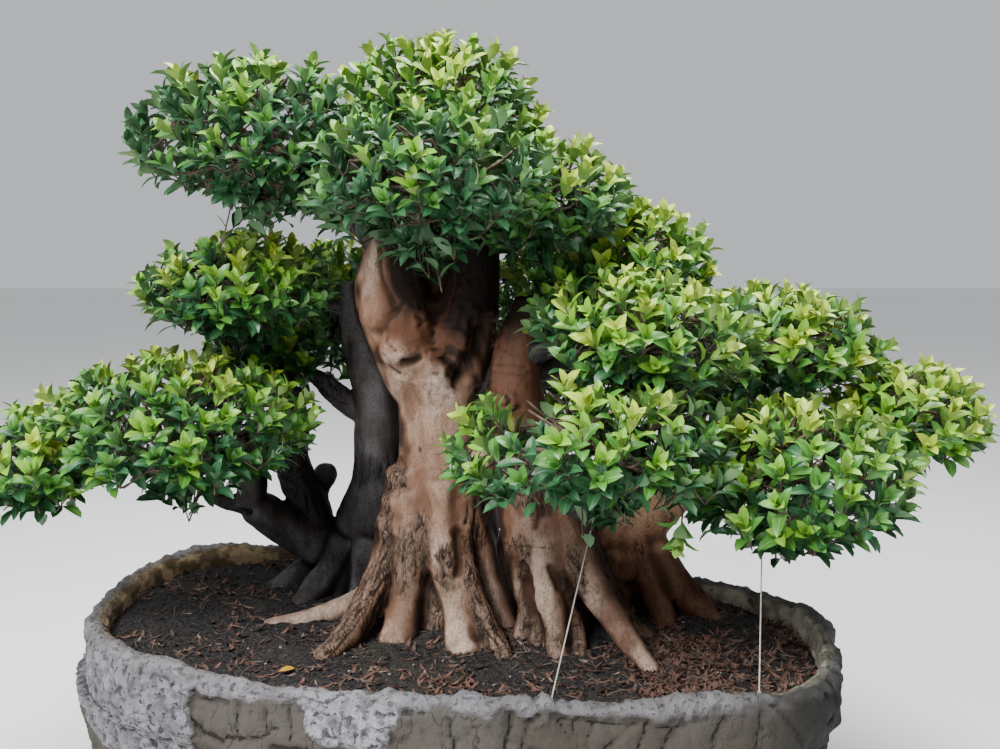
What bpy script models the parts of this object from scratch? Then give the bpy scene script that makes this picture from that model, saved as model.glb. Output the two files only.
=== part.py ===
"""Bonsai fig tree in a rock-faced oval pot, at its real size in metres.

X runs to the right along the pot, Y away from its front and Z up.
The origin is the middle of the pot's flat underside.
"""
import math
import random

import bmesh
import bpy
import numpy
from mathutils import Matrix, Vector, noise
from mathutils.bvhtree import BVHTree

# Clearances between solids that touch on the real tree
CLEARANCE = 0.0003
CARVE_CLEARANCE = 0.0006
MERGE_DISTANCE = 0.000002

# Pot: a rounded oblong, slewed and narrower at its back right, whose upper course overhangs the lower
POT_HALF_LENGTH = 0.79
POT_FRONT_DEPTH = 0.46
POT_BACK_DEPTH = 0.445
POT_BACK_NARROWING = 0.085
POT_SLEW = 0.14
POT_HEIGHT = 0.45
POT_SQUARENESS = 2.6
POT_SIDES = 76
POT_ROW_STEP = 0.045
POT_SHARP_ANGLE = math.radians(40)
POT_WALL = 0.052
POT_FLOOR = 0.07
POT_ROUGHNESS = 0.009
ROCK_LUMPS_PER_METRE = (6, 6, 9)
COURSE_LEVEL = 0.315
POT_LEDGE = 0.045
POT_LEDGE_LEVELS = (0.14, COURSE_LEVEL)
POT_LEDGE_SHARPNESS = 8
SOIL_LEVEL = 0.405
# Waves along the rim: how many go round, phase and height
RIM_WAVES = ((5, 1.0, 0.006), (11, 0.0, 0.004))
RIM_WAVE_LEVEL = 0.435
# Section of the pot from the underside, up the outside, over the rim and down the inside:
# height, inset from the widest outline, share of the rock's roughness
POT_SECTION = (
    (0.0, 0.085, 0.3),
    (0.015, 0.070, 0.6),
    (0.120, 0.046, 1.0),
    (0.230, 0.028, 1.0),
    (COURSE_LEVEL - 0.015, 0.024, 0.9),
    (COURSE_LEVEL + 0.005, 0.007, 0.9),
    (0.365, 0.0, 1.0),
    (0.420, 0.003, 0.8),
    (POT_HEIGHT - 0.006, 0.010, 0.5),
    (POT_HEIGHT, 0.022, 0.3),
    (POT_HEIGHT - 0.003, POT_WALL - 0.010, 0.3),
    (POT_HEIGHT - 0.018, POT_WALL - 0.002, 0.3),
    (SOIL_LEVEL, POT_WALL, 0.0),
    (POT_FLOOR, POT_WALL + 0.025, 0.0),
)

# Thick wood: stations along each limb as x, y, z and radius
TRUNK = (
    (0.004, 0.090, 0.380, 0.160),
    (-0.021, 0.080, 0.620, 0.142),
    (-0.010, 0.070, 0.780, 0.103),
    (-0.014, 0.065, 0.895, 0.101),
    (-0.040, 0.060, 1.000, 0.094),
)
FORK_LEFT = (
    (-0.045, 0.055, 0.900, 0.066),
    (-0.068, 0.050, 0.970, 0.078),
    (-0.116, 0.040, 1.110, 0.076),
    (-0.114, 0.030, 1.190, 0.064),
    (-0.106, 0.030, 1.260, 0.048),
)
FORK_RIGHT = (
    (0.000, 0.060, 0.950, 0.088),
    (0.035, 0.070, 1.086, 0.074),
    (0.050, 0.080, 1.193, 0.060),
    (0.050, 0.090, 1.290, 0.044),
)
FORK_BACK = (
    (-0.030, 0.105, 0.930, 0.074),
    (-0.038, 0.130, 1.100, 0.070),
    (-0.035, 0.140, 1.330, 0.042),
)
STEM_RIGHT = (
    (0.238, -0.020, 0.380, 0.108),
    (0.212, -0.025, 0.598, 0.098),
    (0.188, -0.015, 0.713, 0.087),
    (0.157, 0.000, 0.838, 0.068),
    (0.144, 0.000, 0.923, 0.058),
    (0.156, 0.020, 1.016, 0.048),
    (0.181, 0.030, 1.110, 0.038),
)
STEM_REAR_RIGHT = (
    (0.442, 0.130, 0.380, 0.100),
    (0.411, 0.130, 0.490, 0.088),
    (0.419, 0.115, 0.593, 0.074),
    (0.484, 0.090, 0.680, 0.056),
    (0.556, 0.060, 0.743, 0.042),
)
STEM_REAR_LEFT = (
    (-0.255, 0.250, 0.380, 0.100),
    (-0.211, 0.240, 0.553, 0.076),
    (-0.176, 0.220, 0.679, 0.059),
    (-0.178, 0.210, 0.800, 0.054),
    (-0.197, 0.200, 0.918, 0.044),
    (-0.221, 0.190, 1.034, 0.033),
    (-0.236, 0.180, 1.140, 0.024),
)
THICK_WOOD = (TRUNK, FORK_LEFT, FORK_RIGHT, FORK_BACK, STEM_RIGHT, STEM_REAR_RIGHT, STEM_REAR_LEFT)
# Swellings and old scars as x, y, z and radius
TRUNK_BURLS = (
    (-0.142, 0.005, 1.080, 0.048),
    (-0.106, -0.012, 1.008, 0.042),
    (0.070, -0.010, 0.760, 0.040),
    (-0.130, 0.020, 0.640, 0.045),
)
STEM_RIGHT_BURLS = ((0.120, -0.050, 0.900, 0.026), (0.270, -0.050, 0.620, 0.040))
STEM_REAR_RIGHT_BURLS = ((0.380, 0.065, 0.530, 0.050),)

# Surface roots: bearing and its swing in degrees, reach from the foot's middle,
# height where the root leaves the wood, radius there
TRUNK_ROOTS = (
    (187, 0, 0.420, 0.070, 0.034),
    (198, 23, 0.355, 0.190, 0.050),
    (226, -2, 0.235, 0.170, 0.052),
    (262, 0, 0.175, 0.160, 0.048),
    (285, 4, 0.262, 0.210, 0.050),
    (70, 8, 0.270, 0.150, 0.050),
    (112, -6, 0.270, 0.170, 0.050),
    (150, 6, 0.250, 0.120, 0.044),
)
STEM_RIGHT_ROOTS = (
    (238, 8, 0.150, 0.150, 0.044),
    (268, 0, 0.165, 0.170, 0.046),
    (316, -6, 0.245, 0.190, 0.052),
    (20, 10, 0.210, 0.120, 0.042),
)
STEM_REAR_RIGHT_ROOTS = (
    (324, 6, 0.180, 0.090, 0.044),
    (352, 6, 0.155, 0.080, 0.040),
    (148, 0, 0.150, 0.100, 0.044),
)
STEM_REAR_LEFT_ROOTS = (
    (175, 10, 0.190, 0.110, 0.048),
    (120, 0, 0.180, 0.100, 0.044),
    (60, -5, 0.170, 0.100, 0.040),
)
ROOT_STATIONS = 7
ROOT_SIDES = 12
# Where a root leaves its foot, as a share of its reach, how much of its radius it loses,
# how hollow its slope is, and how far its tip dives, in radii
ROOT_START = 0.35
ROOT_TAPER = 0.62
ROOT_HOLLOW = 1.8
ROOT_DIVE = 0.55

# Each piece of thick wood: its limbs, roots, swellings, rough number of triangles and bark
THICK_PIECES = {
    "trunk": ((TRUNK, FORK_LEFT, FORK_RIGHT, FORK_BACK), TRUNK_ROOTS, TRUNK_BURLS, 1500, "bark"),
    "stem_right": ((STEM_RIGHT,), STEM_RIGHT_ROOTS, STEM_RIGHT_BURLS, 560, "bark"),
    "stem_rear_right": (
        (STEM_REAR_RIGHT,), STEM_REAR_RIGHT_ROOTS, STEM_REAR_RIGHT_BURLS, 400, "bark",
    ),
    "stem_rear_left": ((STEM_REAR_LEFT,), STEM_REAR_LEFT_ROOTS, (), 440, "dark_bark"),
}
THICK_SIDES = 20
THICK_PER_SPAN = 4
WOOD_GRAIN = 0.010
WOOD_SMOOTHING = 5

# Thin wood that the foliage leaves bare, as stations too
LIMBS = {
    "bough_low_left": (
        (-0.275, 0.250, 0.500, 0.075),
        (-0.342, 0.240, 0.540, 0.058),
        (-0.411, 0.210, 0.586, 0.046),
        (-0.460, 0.182, 0.630, 0.038),
    ),
    "bough_low_left_end": (
        (-0.466, 0.178, 0.634, 0.036),
        (-0.458, 0.170, 0.695, 0.031),
        (-0.480, 0.150, 0.730, 0.028),
        (-0.509, 0.122, 0.764, 0.024),
    ),
    "twig_low_left": (
        (-0.460, 0.185, 0.620, 0.020),
        (-0.535, 0.160, 0.653, 0.016),
        (-0.578, 0.140, 0.698, 0.013),
        (-0.610, 0.122, 0.734, 0.010),
    ),
    "stem_inner_left": (
        (-0.320, 0.250, 0.535, 0.050),
        (-0.354, 0.240, 0.638, 0.043),
        (-0.378, 0.230, 0.725, 0.034),
        (-0.365, 0.220, 0.810, 0.026),
        (-0.367, 0.210, 0.895, 0.018),
    ),
    "stub_left": (
        (-0.310, 0.262, 0.550, 0.032),
        (-0.326, 0.285, 0.626, 0.020),
        (-0.310, 0.290, 0.680, 0.026),
        (-0.306, 0.290, 0.700, 0.015),
    ),
    "branch_left": (
        (-0.185, 0.210, 0.830, 0.034),
        (-0.255, 0.200, 0.879, 0.024),
        (-0.300, 0.205, 0.915, 0.018),
        (-0.325, 0.215, 0.930, 0.014),
    ),
    "stub_right": (
        (0.205, -0.040, 0.690, 0.046),
        (0.262, -0.078, 0.697, 0.034),
        (0.308, -0.100, 0.704, 0.026),
    ),
}
LIMB_SIDES = 7
LIMB_PER_SPAN = 2

# Foliage: middle of each mass and its half width, half depth and half height
MASSES = {
    "crown_top": ((-0.020, 0.100, 1.485), (0.240, 0.240, 0.200)),
    "crown_left": ((-0.375, -0.010, 1.430), (0.265, 0.240, 0.195)),
    "crown_front": ((-0.020, -0.190, 1.340), (0.260, 0.200, 0.165)),
    "crown_right": ((0.185, -0.010, 1.310), (0.210, 0.210, 0.160)),
    "crown_back": ((-0.060, 0.370, 1.350), (0.310, 0.260, 0.195)),
    "right_shoulder": ((0.345, 0.130, 1.175), (0.250, 0.240, 0.185)),
    "right_middle": ((0.375, -0.170, 1.050), (0.250, 0.210, 0.155)),
    "right_slope": ((0.715, 0.100, 1.005), (0.240, 0.240, 0.160)),
    "right_tip": ((0.955, 0.010, 0.870), (0.195, 0.210, 0.140)),
    "lower_right_front": ((0.280, -0.310, 0.862), (0.295, 0.195, 0.160)),
    "lower_right": ((0.655, -0.210, 0.785), (0.260, 0.240, 0.180)),
    "left_upper": ((-0.455, 0.130, 1.130), (0.235, 0.230, 0.145)),
    "left_inner": ((-0.405, 0.310, 0.985), (0.210, 0.180, 0.115)),
    "lower_left": ((-0.560, -0.010, 0.850), (0.300, 0.270, 0.180)),
    "lower_left_tip": ((-0.835, -0.030, 0.795), (0.210, 0.220, 0.130)),
    "back_left": ((-0.340, 0.530, 1.110), (0.280, 0.240, 0.155)),
    "back_right": ((0.290, 0.490, 1.080), (0.290, 0.250, 0.180)),
    "back_low": ((0.120, 0.520, 0.850), (0.240, 0.200, 0.130)),
    "back_slope": ((0.680, 0.410, 0.910), (0.260, 0.240, 0.160)),
}
# A pad is flatter below than above, and squarer than a ball
UNDERSIDE = 0.80
SQUARENESS = 2.2

# Hidden boughs: the mass each ends in, its start inside thicker wood, radius there, rise halfway
BOUGHS = {
    "bough_crown_left": ("crown_left", (-0.118, 0.030, 1.200), 0.036, 0.030),
    "bough_crown_top": ("crown_top", (0.054, 0.090, 1.270), 0.040, 0.0),
    "bough_crown_front": ("crown_front", (-0.105, 0.020, 1.235), 0.032, 0.020),
    "bough_crown_right": ("crown_right", (0.065, 0.075, 1.200), 0.034, 0.0),
    "bough_crown_back": ("crown_back", (0.040, 0.090, 1.200), 0.034, 0.0),
    "bough_right_shoulder": ("right_shoulder", (0.180, 0.030, 1.095), 0.030, 0.0),
    "bough_right_middle": ("right_middle", (0.160, 0.010, 0.990), 0.030, 0.010),
    "bough_right_slope": ("right_slope", (0.155, 0.020, 0.960), 0.032, 0.030),
    "bough_right_tip": ("right_tip", (0.540, 0.070, 0.735), 0.034, 0.010),
    "bough_lower_right": ("lower_right", (0.490, 0.095, 0.690), 0.032, -0.015),
    "bough_lower_right_front": ("lower_right_front", (0.150, -0.010, 0.835), 0.034, 0.0),
    "bough_left_upper": ("left_upper", (-0.228, 0.186, 1.080), 0.024, 0.0),
    "bough_left_inner": ("left_inner", (-0.367, 0.210, 0.886), 0.016, 0.0),
    "bough_lower_left_tip": ("lower_left_tip", (-0.604, 0.126, 0.728), 0.010, -0.010),
    "bough_back_left": ("back_left", (-0.200, 0.200, 0.930), 0.026, 0.030),
    "bough_back_right": ("back_right", (-0.010, 0.110, 0.900), 0.042, 0.030),
    "bough_back_low": ("back_low", (-0.020, 0.130, 0.760), 0.040, -0.010),
    "bough_back_slope": ("back_slope", (0.440, 0.115, 0.620), 0.038, 0.030),
}
# Masses that grow straight from the tip of a bare limb
TIP_MASSES = {"lower_left": "bough_low_left_end"}
BOUGH_TAPER = 0.45
BOUGH_STATIONS = 4
BOUGH_SIDES = 7
BOUGH_END_GAP = 0.006

# Twigs and leaves of a mass
SHARING_MARGIN = 0.07
CORE_DEPTH = 0.055
CORE_BORDER = 0.012
RAY_STEP = 0.008
CORE_SHARE = 0.55
CORE_RINGS = 6
CORE_SIDES = 11
CORE_LUMPS = 0.06
LIMB_ROOM = 0.010
STEM_SIDES = 3
TWIG_RADIUS = 0.006
TWIG_STANDS_OUT = 0.020
AREA_PER_LEAF = 0.029
LEAVES_PER_TWIG = 4
LEAF_LENGTH = 0.125
LEAF_WIDTH = 0.062
LEAF_THICKNESS = 0.005
LEAF_WIDEST_AT = 0.48
LEAF_ROOT_DEPTH = 0.010
# How far a leaf stands up from the core in degrees, its shares of full length,
# how much of that it loses at each further try, and how much it turns to the light
LEAF_LIFTS = (24, 50)
LEAF_SHARES = (0.82, 1.12)
LEAF_LOSS = 0.09
LEAF_UPTURN = 0.10
LEAF_TRIES = 4
SPREAD_SHAKE = 0.12
# A mass that isn't closed grows again from another seed, with fewer leaves after two tries
GROWTH_TRIES = 4
FEWER_LEAVES = 0.8

# Training strings: the share of a turn round the rim at which each is tied, a point that it runs
# towards, and the solid that it holds
TIE_RADIUS = 0.0013
KNOT_RADIUS = 0.0042
TIE_SIDES = 6
TIE_INSET = 0.022
TIE_RUN_UP = 0.02
TIES = {
    "tie_front": (0.777, (0.306, -0.099, 0.702), "stub_right"),
    "tie_right": (0.8646, (0.613, -0.210, 0.650), "lower_right"),
}

COLOURS = {
    "bark": ((0.33, 0.20, 0.13), 0.75),
    "dark_bark": ((0.13, 0.085, 0.065), 0.80),
    "foliage": ((0.10, 0.26, 0.04), 0.45),
    "rock": ((0.33, 0.31, 0.29), 0.90),
    "soil": ((0.06, 0.04, 0.03), 0.95),
    "string": ((0.75, 0.73, 0.68), 0.70),
}


def clear_scene():
    for item in list(bpy.data.objects):
        bpy.data.objects.remove(item, do_unlink=True)


def make_materials():
    made = {}
    for name, (colour, roughness) in COLOURS.items():
        material = bpy.data.materials.new(name)
        material.use_nodes = True
        shader = material.node_tree.nodes["Principled BSDF"]
        shader.inputs["Base Color"].default_value = (*colour, 1.0)
        shader.inputs["Roughness"].default_value = roughness
        shader.inputs["Metallic"].default_value = 0.0
        made[name] = material
    return made


def link_object(name, mesh, collection=None):
    made = bpy.data.objects.new(name, mesh)
    (collection or bpy.context.scene.collection).objects.link(made)
    return made


def mesh_from(name, build):
    """A mesh filled by the function build, which gets an empty bmesh."""
    shape = bmesh.new()
    build(shape)
    bmesh.ops.recalc_face_normals(shape, faces=shape.faces)
    mesh = bpy.data.meshes.new(name)
    shape.to_mesh(mesh)
    shape.free()
    return mesh


def apply_modifiers(item):
    graph = bpy.context.evaluated_depsgraph_get()
    mesh = bpy.data.meshes.new_from_object(item.evaluated_get(graph))
    item.modifiers.clear()
    item.data = mesh


def bodies(shape):
    """The separate closed bodies of a bmesh, each as a set of faces."""
    left = set(shape.faces)
    found = []
    while left:
        body = set()
        front = [left.pop()]
        while front:
            face = front.pop()
            body.add(face)
            for edge in face.edges:
                for other in edge.link_faces:
                    if other in left:
                        left.remove(other)
                        front.append(other)
        found.append(body)
    return found


def keep_main_body(mesh):
    """Drop loose scraps and the walls of sealed hollows, and leave clean triangles."""
    shape = bmesh.new()
    shape.from_mesh(mesh)
    bmesh.ops.remove_doubles(shape, verts=shape.verts, dist=MERGE_DISTANCE)
    main = max(bodies(shape), key=len)
    spare = [face for face in shape.faces if face not in main]
    bmesh.ops.delete(shape, geom=spare, context="FACES")
    loose = [vert for vert in shape.verts if not vert.link_faces]
    bmesh.ops.delete(shape, geom=loose, context="VERTS")
    bmesh.ops.triangulate(shape, faces=shape.faces)
    shape.to_mesh(mesh)
    shape.free()


# Pot and soil


def pot_point(side, inset, level, roughness):
    """Point on the pot's outline, moved in by inset and roughened like rock."""
    angle = 2 * math.pi * side / POT_SIDES
    power = 2 / POT_SQUARENESS
    along = math.copysign(abs(math.cos(angle)) ** power, math.cos(angle))
    across = math.copysign(abs(math.sin(angle)) ** power, math.sin(angle))
    depth = POT_FRONT_DEPTH if across < 0 else POT_BACK_DEPTH - POT_BACK_NARROWING * along
    reach = Vector(((POT_HALF_LENGTH - inset) * along, (depth - inset) * across, 0.0))
    rock = noise.noise(Vector((reach.x, reach.y, level)) * Vector(ROCK_LUMPS_PER_METRE))
    swell = 2 * POT_ROUGHNESS * roughness * rock
    if POT_LEDGE_LEVELS[0] < level < POT_LEDGE_LEVELS[1]:
        swell += POT_LEDGE * max(0.0, -along) ** POT_LEDGE_SHARPNESS
    reach *= 1 + swell / reach.length
    return Vector((reach.x, reach.y - POT_SLEW * reach.x, level))


def loft(shape, rings):
    """Close a stack of point rings, all of one length, into a solid."""
    rows = [[shape.verts.new(point) for point in ring] for ring in rings]
    for low, high in zip(rows, rows[1:]):
        for here in range(len(low)):
            ahead = (here + 1) % len(low)
            shape.faces.new((low[here], low[ahead], high[ahead]))
            shape.faces.new((low[here], high[ahead], high[here]))
    shape.faces.new(reversed(rows[0]))
    shape.faces.new(rows[-1])


def section_rows(section, step):
    """A section's rows, with more between those that are further apart than step."""
    rows = [section[0]]
    for start, end in zip(section, section[1:]):
        count = math.ceil(math.dist(start[:2], end[:2]) / step)
        for index in range(1, count + 1):
            share = index / count
            rows.append(tuple(low + (high - low) * share for low, high in zip(start, end)))
    return rows


def rim_wave(side):
    """Unevenness of the rim's height."""
    angle = 2 * math.pi * side / POT_SIDES
    return sum(height * math.sin(count * angle + phase) for count, phase, height in RIM_WAVES)


def make_pot(materials):
    rings = []
    rows = section_rows(POT_SECTION[:-1], POT_ROW_STEP)
    for level, inset, roughness in (*rows, POT_SECTION[-1]):
        ring = [pot_point(side, inset, level, roughness) for side in range(POT_SIDES)]
        if level > RIM_WAVE_LEVEL:
            for side, point in enumerate(ring):
                point.z += rim_wave(side)
        rings.append(ring)
    mesh = mesh_from("pot", lambda shape: loft(shape, rings))
    mesh.shade_smooth()
    mesh.set_sharp_from_angle(angle=POT_SHARP_ANGLE)
    mesh.materials.append(materials["rock"])
    return link_object("pot", mesh)


def make_soil(materials):
    """The filling of the pot: its wall follows the pot's inner wall, face by face."""
    rings = []
    for level, inset, roughness in POT_SECTION[-2:]:
        rings.append([pot_point(side, inset + CLEARANCE, level, roughness) for side in range(POT_SIDES)])
    for point in rings[-1]:
        point.z += CLEARANCE
    mesh = mesh_from("soil", lambda shape: loft(shape, rings))
    mesh.materials.append(materials["soil"])
    return link_object("soil", mesh)


# Wood


def smooth_path(stations, per_span):
    """Stations (x, y, z, radius) joined by a smooth curve through every one of them."""
    rows = [Vector(station) for station in stations]
    rows = [2 * rows[0] - rows[1]] + rows + [2 * rows[-1] - rows[-2]]
    path = []
    for before, start, end, after in zip(rows, rows[1:], rows[2:], rows[3:]):
        for step in range(per_span):
            t = step / per_span
            path.append(0.5 * (
                2 * start
                + (end - before) * t
                + (2 * before - 5 * start + 4 * end - after) * t ** 2
                + (3 * start - before - 3 * end + after) * t ** 3
            ))
    path.append(rows[-2])
    return path


def tube_rings(path, sides):
    """Rings square to a path of (x, y, z, radius), without twist."""
    points = [row.to_3d() for row in path]
    rings = []
    across = None
    for index, point in enumerate(points):
        ahead = points[min(index + 1, len(points) - 1)] - points[max(index - 1, 0)]
        ahead.normalize()
        if across is None:
            across = ahead.orthogonal()
        across = (across - ahead * across.dot(ahead)).normalized()
        up = ahead.cross(across)
        rings.append([
            point + (across * math.cos(turn) + up * math.sin(turn)) * path[index].w
            for turn in (2 * math.pi * side / sides for side in range(sides))
        ])
    return rings


def add_tube(shape, path, sides):
    loft(shape, tube_rings(path, sides))


def root_path(foot, bearing, swing, reach, height, radius):
    """A surface root that leaves the foot of a stem and dives into the soil at its tip."""
    path = []
    for step in range(ROOT_STATIONS):
        t = step / (ROOT_STATIONS - 1)
        angle = math.radians(bearing + swing * t)
        out = reach * (ROOT_START + (1 - ROOT_START) * t)
        thick = radius * (1 - ROOT_TAPER * t)
        level = SOIL_LEVEL + height * (1 - t) ** ROOT_HOLLOW + thick * ROOT_DIVE * (1 - 2 * t)
        path.append(Vector((
            foot[0] + out * math.cos(angle),
            foot[1] + out * math.sin(angle),
            level,
            thick,
        )))
    return path


def cut_flat(item, level):
    """Cut the wood off flat at a level, as where it meets the soil."""
    size = 4.0

    def block(shape):
        bmesh.ops.create_cube(shape, size=size)
        bmesh.ops.translate(shape, vec=(0.0, 0.0, level - size / 2), verts=shape.verts)

    cutter = link_object("ground_cutter", mesh_from("ground_cutter", block))
    subtract(item, cutter)


def subtract(item, cutter):
    """Take the cutter out of the item and remove it."""
    cut = item.modifiers.new("cut", "BOOLEAN")
    cut.operation = "DIFFERENCE"
    cut.object = cutter
    apply_modifiers(item)
    bpy.data.objects.remove(cutter, do_unlink=True)
    keep_main_body(item.data)


def touches(item, other):
    """True where the two surfaces cross."""
    trees = []
    for solid in (item, other):
        shape = bmesh.new()
        shape.from_mesh(solid.data)
        trees.append(BVHTree.FromBMesh(shape, epsilon=0.001))
        shape.free()
    return bool(trees[0].overlap(trees[1]))


def carve(item, other):
    """Keep the item clear of a neighbour that it would run into."""
    if not touches(item, other):
        return
    cutter = link_object("neighbour_cutter", other.data.copy())
    swell = cutter.modifiers.new("swell", "DISPLACE")
    swell.strength = CARVE_CLEARANCE
    swell.mid_level = 0.0
    apply_modifiers(cutter)
    subtract(item, cutter)


def make_thick_wood(name, limbs, roots, burls, triangles, material):
    """Limbs, roots and burls grown together into one skin, cut flat at the soil."""
    foot = limbs[0][0]

    def build(shape):
        for stations in limbs:
            add_tube(shape, smooth_path(stations, THICK_PER_SPAN), THICK_SIDES)
        for root in roots:
            add_tube(shape, root_path(foot, *root), ROOT_SIDES)
        for x, y, z, radius in burls:
            place = Matrix.Translation((x, y, z))
            bmesh.ops.create_icosphere(shape, subdivisions=2, radius=radius, matrix=place)

    item = link_object(name, mesh_from(name, build))
    fuse = item.modifiers.new("fuse", "REMESH")
    fuse.mode = "VOXEL"
    fuse.voxel_size = WOOD_GRAIN
    ease = item.modifiers.new("ease", "SMOOTH")
    ease.factor = 0.5
    ease.iterations = WOOD_SMOOTHING
    apply_modifiers(item)
    keep_main_body(item.data)
    thin = item.modifiers.new("thin", "DECIMATE")
    thin.ratio = triangles / len(item.data.polygons)
    apply_modifiers(item)
    cut_flat(item, SOIL_LEVEL + CLEARANCE)
    item.data.materials.clear()
    item.data.materials.append(material)
    return item


def make_limb(name, path, sides, material):
    item = link_object(name, mesh_from(name, lambda shape: add_tube(shape, path, sides)))
    item.data.materials.append(material)
    return item


def make_wood(materials):
    made = {}
    for name, (*shape, bark) in THICK_PIECES.items():
        made[name] = make_thick_wood(name, *shape, materials[bark])
    thick = list(made.values())
    for index, item in enumerate(thick):
        for other in thick[:index]:
            carve(item, other)
    for name, stations in LIMBS.items():
        path = smooth_path(stations, LIMB_PER_SPAN)
        limb = make_limb(name, path, LIMB_SIDES, materials["dark_bark"])
        for other in made.values():
            carve(limb, other)
        made[name] = limb
    return made


# Foliage


class Foliage:
    """The masses' spaces: each is a flattened ball less what its neighbours own."""

    def __init__(self):
        self.names = list(MASSES)
        self.centres = numpy.array([MASSES[name][0] for name in self.names])
        self.halves = numpy.array([MASSES[name][1] for name in self.names])

    def depths(self, point):
        """How far out of each mass the point is: 0 at its middle, 1 on its skin."""
        offset = numpy.array(point) - self.centres
        halves = self.halves.copy()
        halves[:, 2] *= numpy.where(offset[:, 2] < 0, UNDERSIDE, 1.0)
        return (numpy.abs(offset / halves) ** SQUARENESS).sum(axis=1) ** (1 / SQUARENESS)

    def owns(self, name, point):
        """True where the point lies in the mass's own space."""
        depths = self.depths(point)
        own = depths[self.names.index(name)]
        others = numpy.delete(depths, self.names.index(name))
        return own <= 1.0 and own + SHARING_MARGIN < others.min()

    def outward(self, name, point):
        """Outward direction of the mass's skin near the point."""
        centre, half = MASSES[name]
        slope = [(p - c) / h ** 2 for p, c, h in zip(point, centre, half)]
        return Vector(slope).normalized()

    def skin_reach(self, name, direction):
        """Length of the ray from the middle of the mass to its own skin."""
        wide, deep, high = MASSES[name][1]
        high *= UNDERSIDE if direction.z < 0 else 1.0
        shares = (direction.x / wide, direction.y / deep, direction.z / high)
        return sum(abs(share) ** SQUARENESS for share in shares) ** (-1 / SQUARENESS)

    def core_reach(self, name, direction, clear=None):
        """Length of the same ray to the skin of the core that the leaves stand out of."""
        full = self.skin_reach(name, direction)
        seed = self.names.index(name) * 7.0
        lump = 1 + CORE_LUMPS * noise.noise(direction * 2.5 + Vector((seed, 0.0, 0.0)))
        wanted = max(full - CORE_DEPTH, full * CORE_SHARE) * lump
        centre = Vector(MASSES[name][0])
        length = RAY_STEP
        while length < wanted:
            point = centre + direction * (length + CORE_BORDER)
            if not self.owns(name, point) or (clear is not None and not clear(point)):
                break
            length += RAY_STEP
        return min(length, wanted)


class Obstacles:
    """All limbs as tapering capsules, to keep leaves and cores clear of them."""

    def __init__(self):
        self.starts = []
        self.ends = []

    def add(self, path):
        for start, end in zip(path, path[1:]):
            self.starts.append(tuple(start))
            self.ends.append(tuple(end))

    def gap(self, point):
        starts = numpy.array(self.starts)
        run = numpy.array(self.ends) - starts
        offset = numpy.array(point) - starts[:, :3]
        along = (offset * run[:, :3]).sum(axis=1) / (run[:, :3] ** 2).sum(axis=1)
        along = numpy.clip(along, 0.0, 1.0)[:, None]
        nearest = starts + run * along
        return (numpy.linalg.norm(numpy.array(point) - nearest[:, :3], axis=1) - nearest[:, 3]).min()

    def clear(self, point):
        return self.gap(point) > LIMB_ROOM


def bough_path(foliage, name):
    """One tapering limb from its start to just short of the core of its mass."""
    mass, start, radius, rise = BOUGHS[name]
    centre = Vector(MASSES[mass][0])
    start = Vector(start)
    halfway = start.lerp(centre, 0.55) + Vector((0.0, 0.0, rise))
    inward = (halfway - centre).normalized()
    tip = centre + inward * (foliage.core_reach(mass, inward) + BOUGH_END_GAP)
    if (tip - centre).length > (halfway - centre).length:
        halfway = tip + (start - tip) * 0.4
    stations = []
    for step in range(BOUGH_STATIONS):
        t = step / (BOUGH_STATIONS - 1)
        point = start * (1 - t) ** 2 + halfway * 2 * t * (1 - t) + tip * t ** 2
        stations.append(Vector((*point, radius * (1 - (1 - BOUGH_TAPER) * t))))
    return stations


def core_rings(foliage, name, clear):
    """Rings of the core from its underside to its top."""
    centre = Vector(MASSES[name][0])
    wide, deep, high = MASSES[name][1]
    rings = []
    for ring in range(1, CORE_RINGS):
        tilt = math.pi * (ring / CORE_RINGS - 0.5)
        row = []
        for side in range(CORE_SIDES):
            turn = 2 * math.pi * (side + 0.5 * (ring % 2)) / CORE_SIDES
            direction = Vector((
                math.cos(turn) * math.cos(tilt) * wide,
                math.sin(turn) * math.cos(tilt) * deep,
                math.sin(tilt) * high,
            )).normalized()
            row.append(centre + direction * foliage.core_reach(name, direction, clear))
        rings.append(row)
    return rings


def add_core(shape, foliage, name, clear):
    """Closed lumpy core: rings joined up, with a point below and above."""
    centre = Vector(MASSES[name][0])
    rows = [[shape.verts.new(point) for point in ring] for ring in core_rings(foliage, name, clear)]
    for low, high in zip(rows, rows[1:]):
        for here in range(CORE_SIDES):
            ahead = (here + 1) % CORE_SIDES
            shape.faces.new((low[here], low[ahead], high[ahead], high[here]))
    for row, direction in ((rows[0], Vector((0, 0, -1))), (rows[-1], Vector((0, 0, 1)))):
        pole = shape.verts.new(centre + direction * foliage.core_reach(name, direction, clear))
        for here in range(CORE_SIDES):
            shape.faces.new((row[here], row[(here + 1) % CORE_SIDES], pole))


def leaf_corners(root, along, face, length):
    """Root, tip, two sides, upper and lower face point of one leaf."""
    side = along.cross(face).normalized()
    face = side.cross(along).normalized()
    middle = root + along * (length * LEAF_WIDEST_AT)
    half_width = side * (LEAF_WIDTH / 2 * length / LEAF_LENGTH)
    half_thickness = face * (LEAF_THICKNESS / 2)
    return (
        root,
        root + along * length,
        middle + half_width,
        middle - half_width,
        middle + half_thickness,
        middle - half_thickness,
    )


def add_leaf(shape, corners):
    root, tip, left, right, upper, lower = (shape.verts.new(corner) for corner in corners)
    for here, ahead in ((left, tip), (tip, right), (right, root), (root, left)):
        shape.faces.new((here, ahead, upper))
        shape.faces.new((ahead, here, lower))


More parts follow.
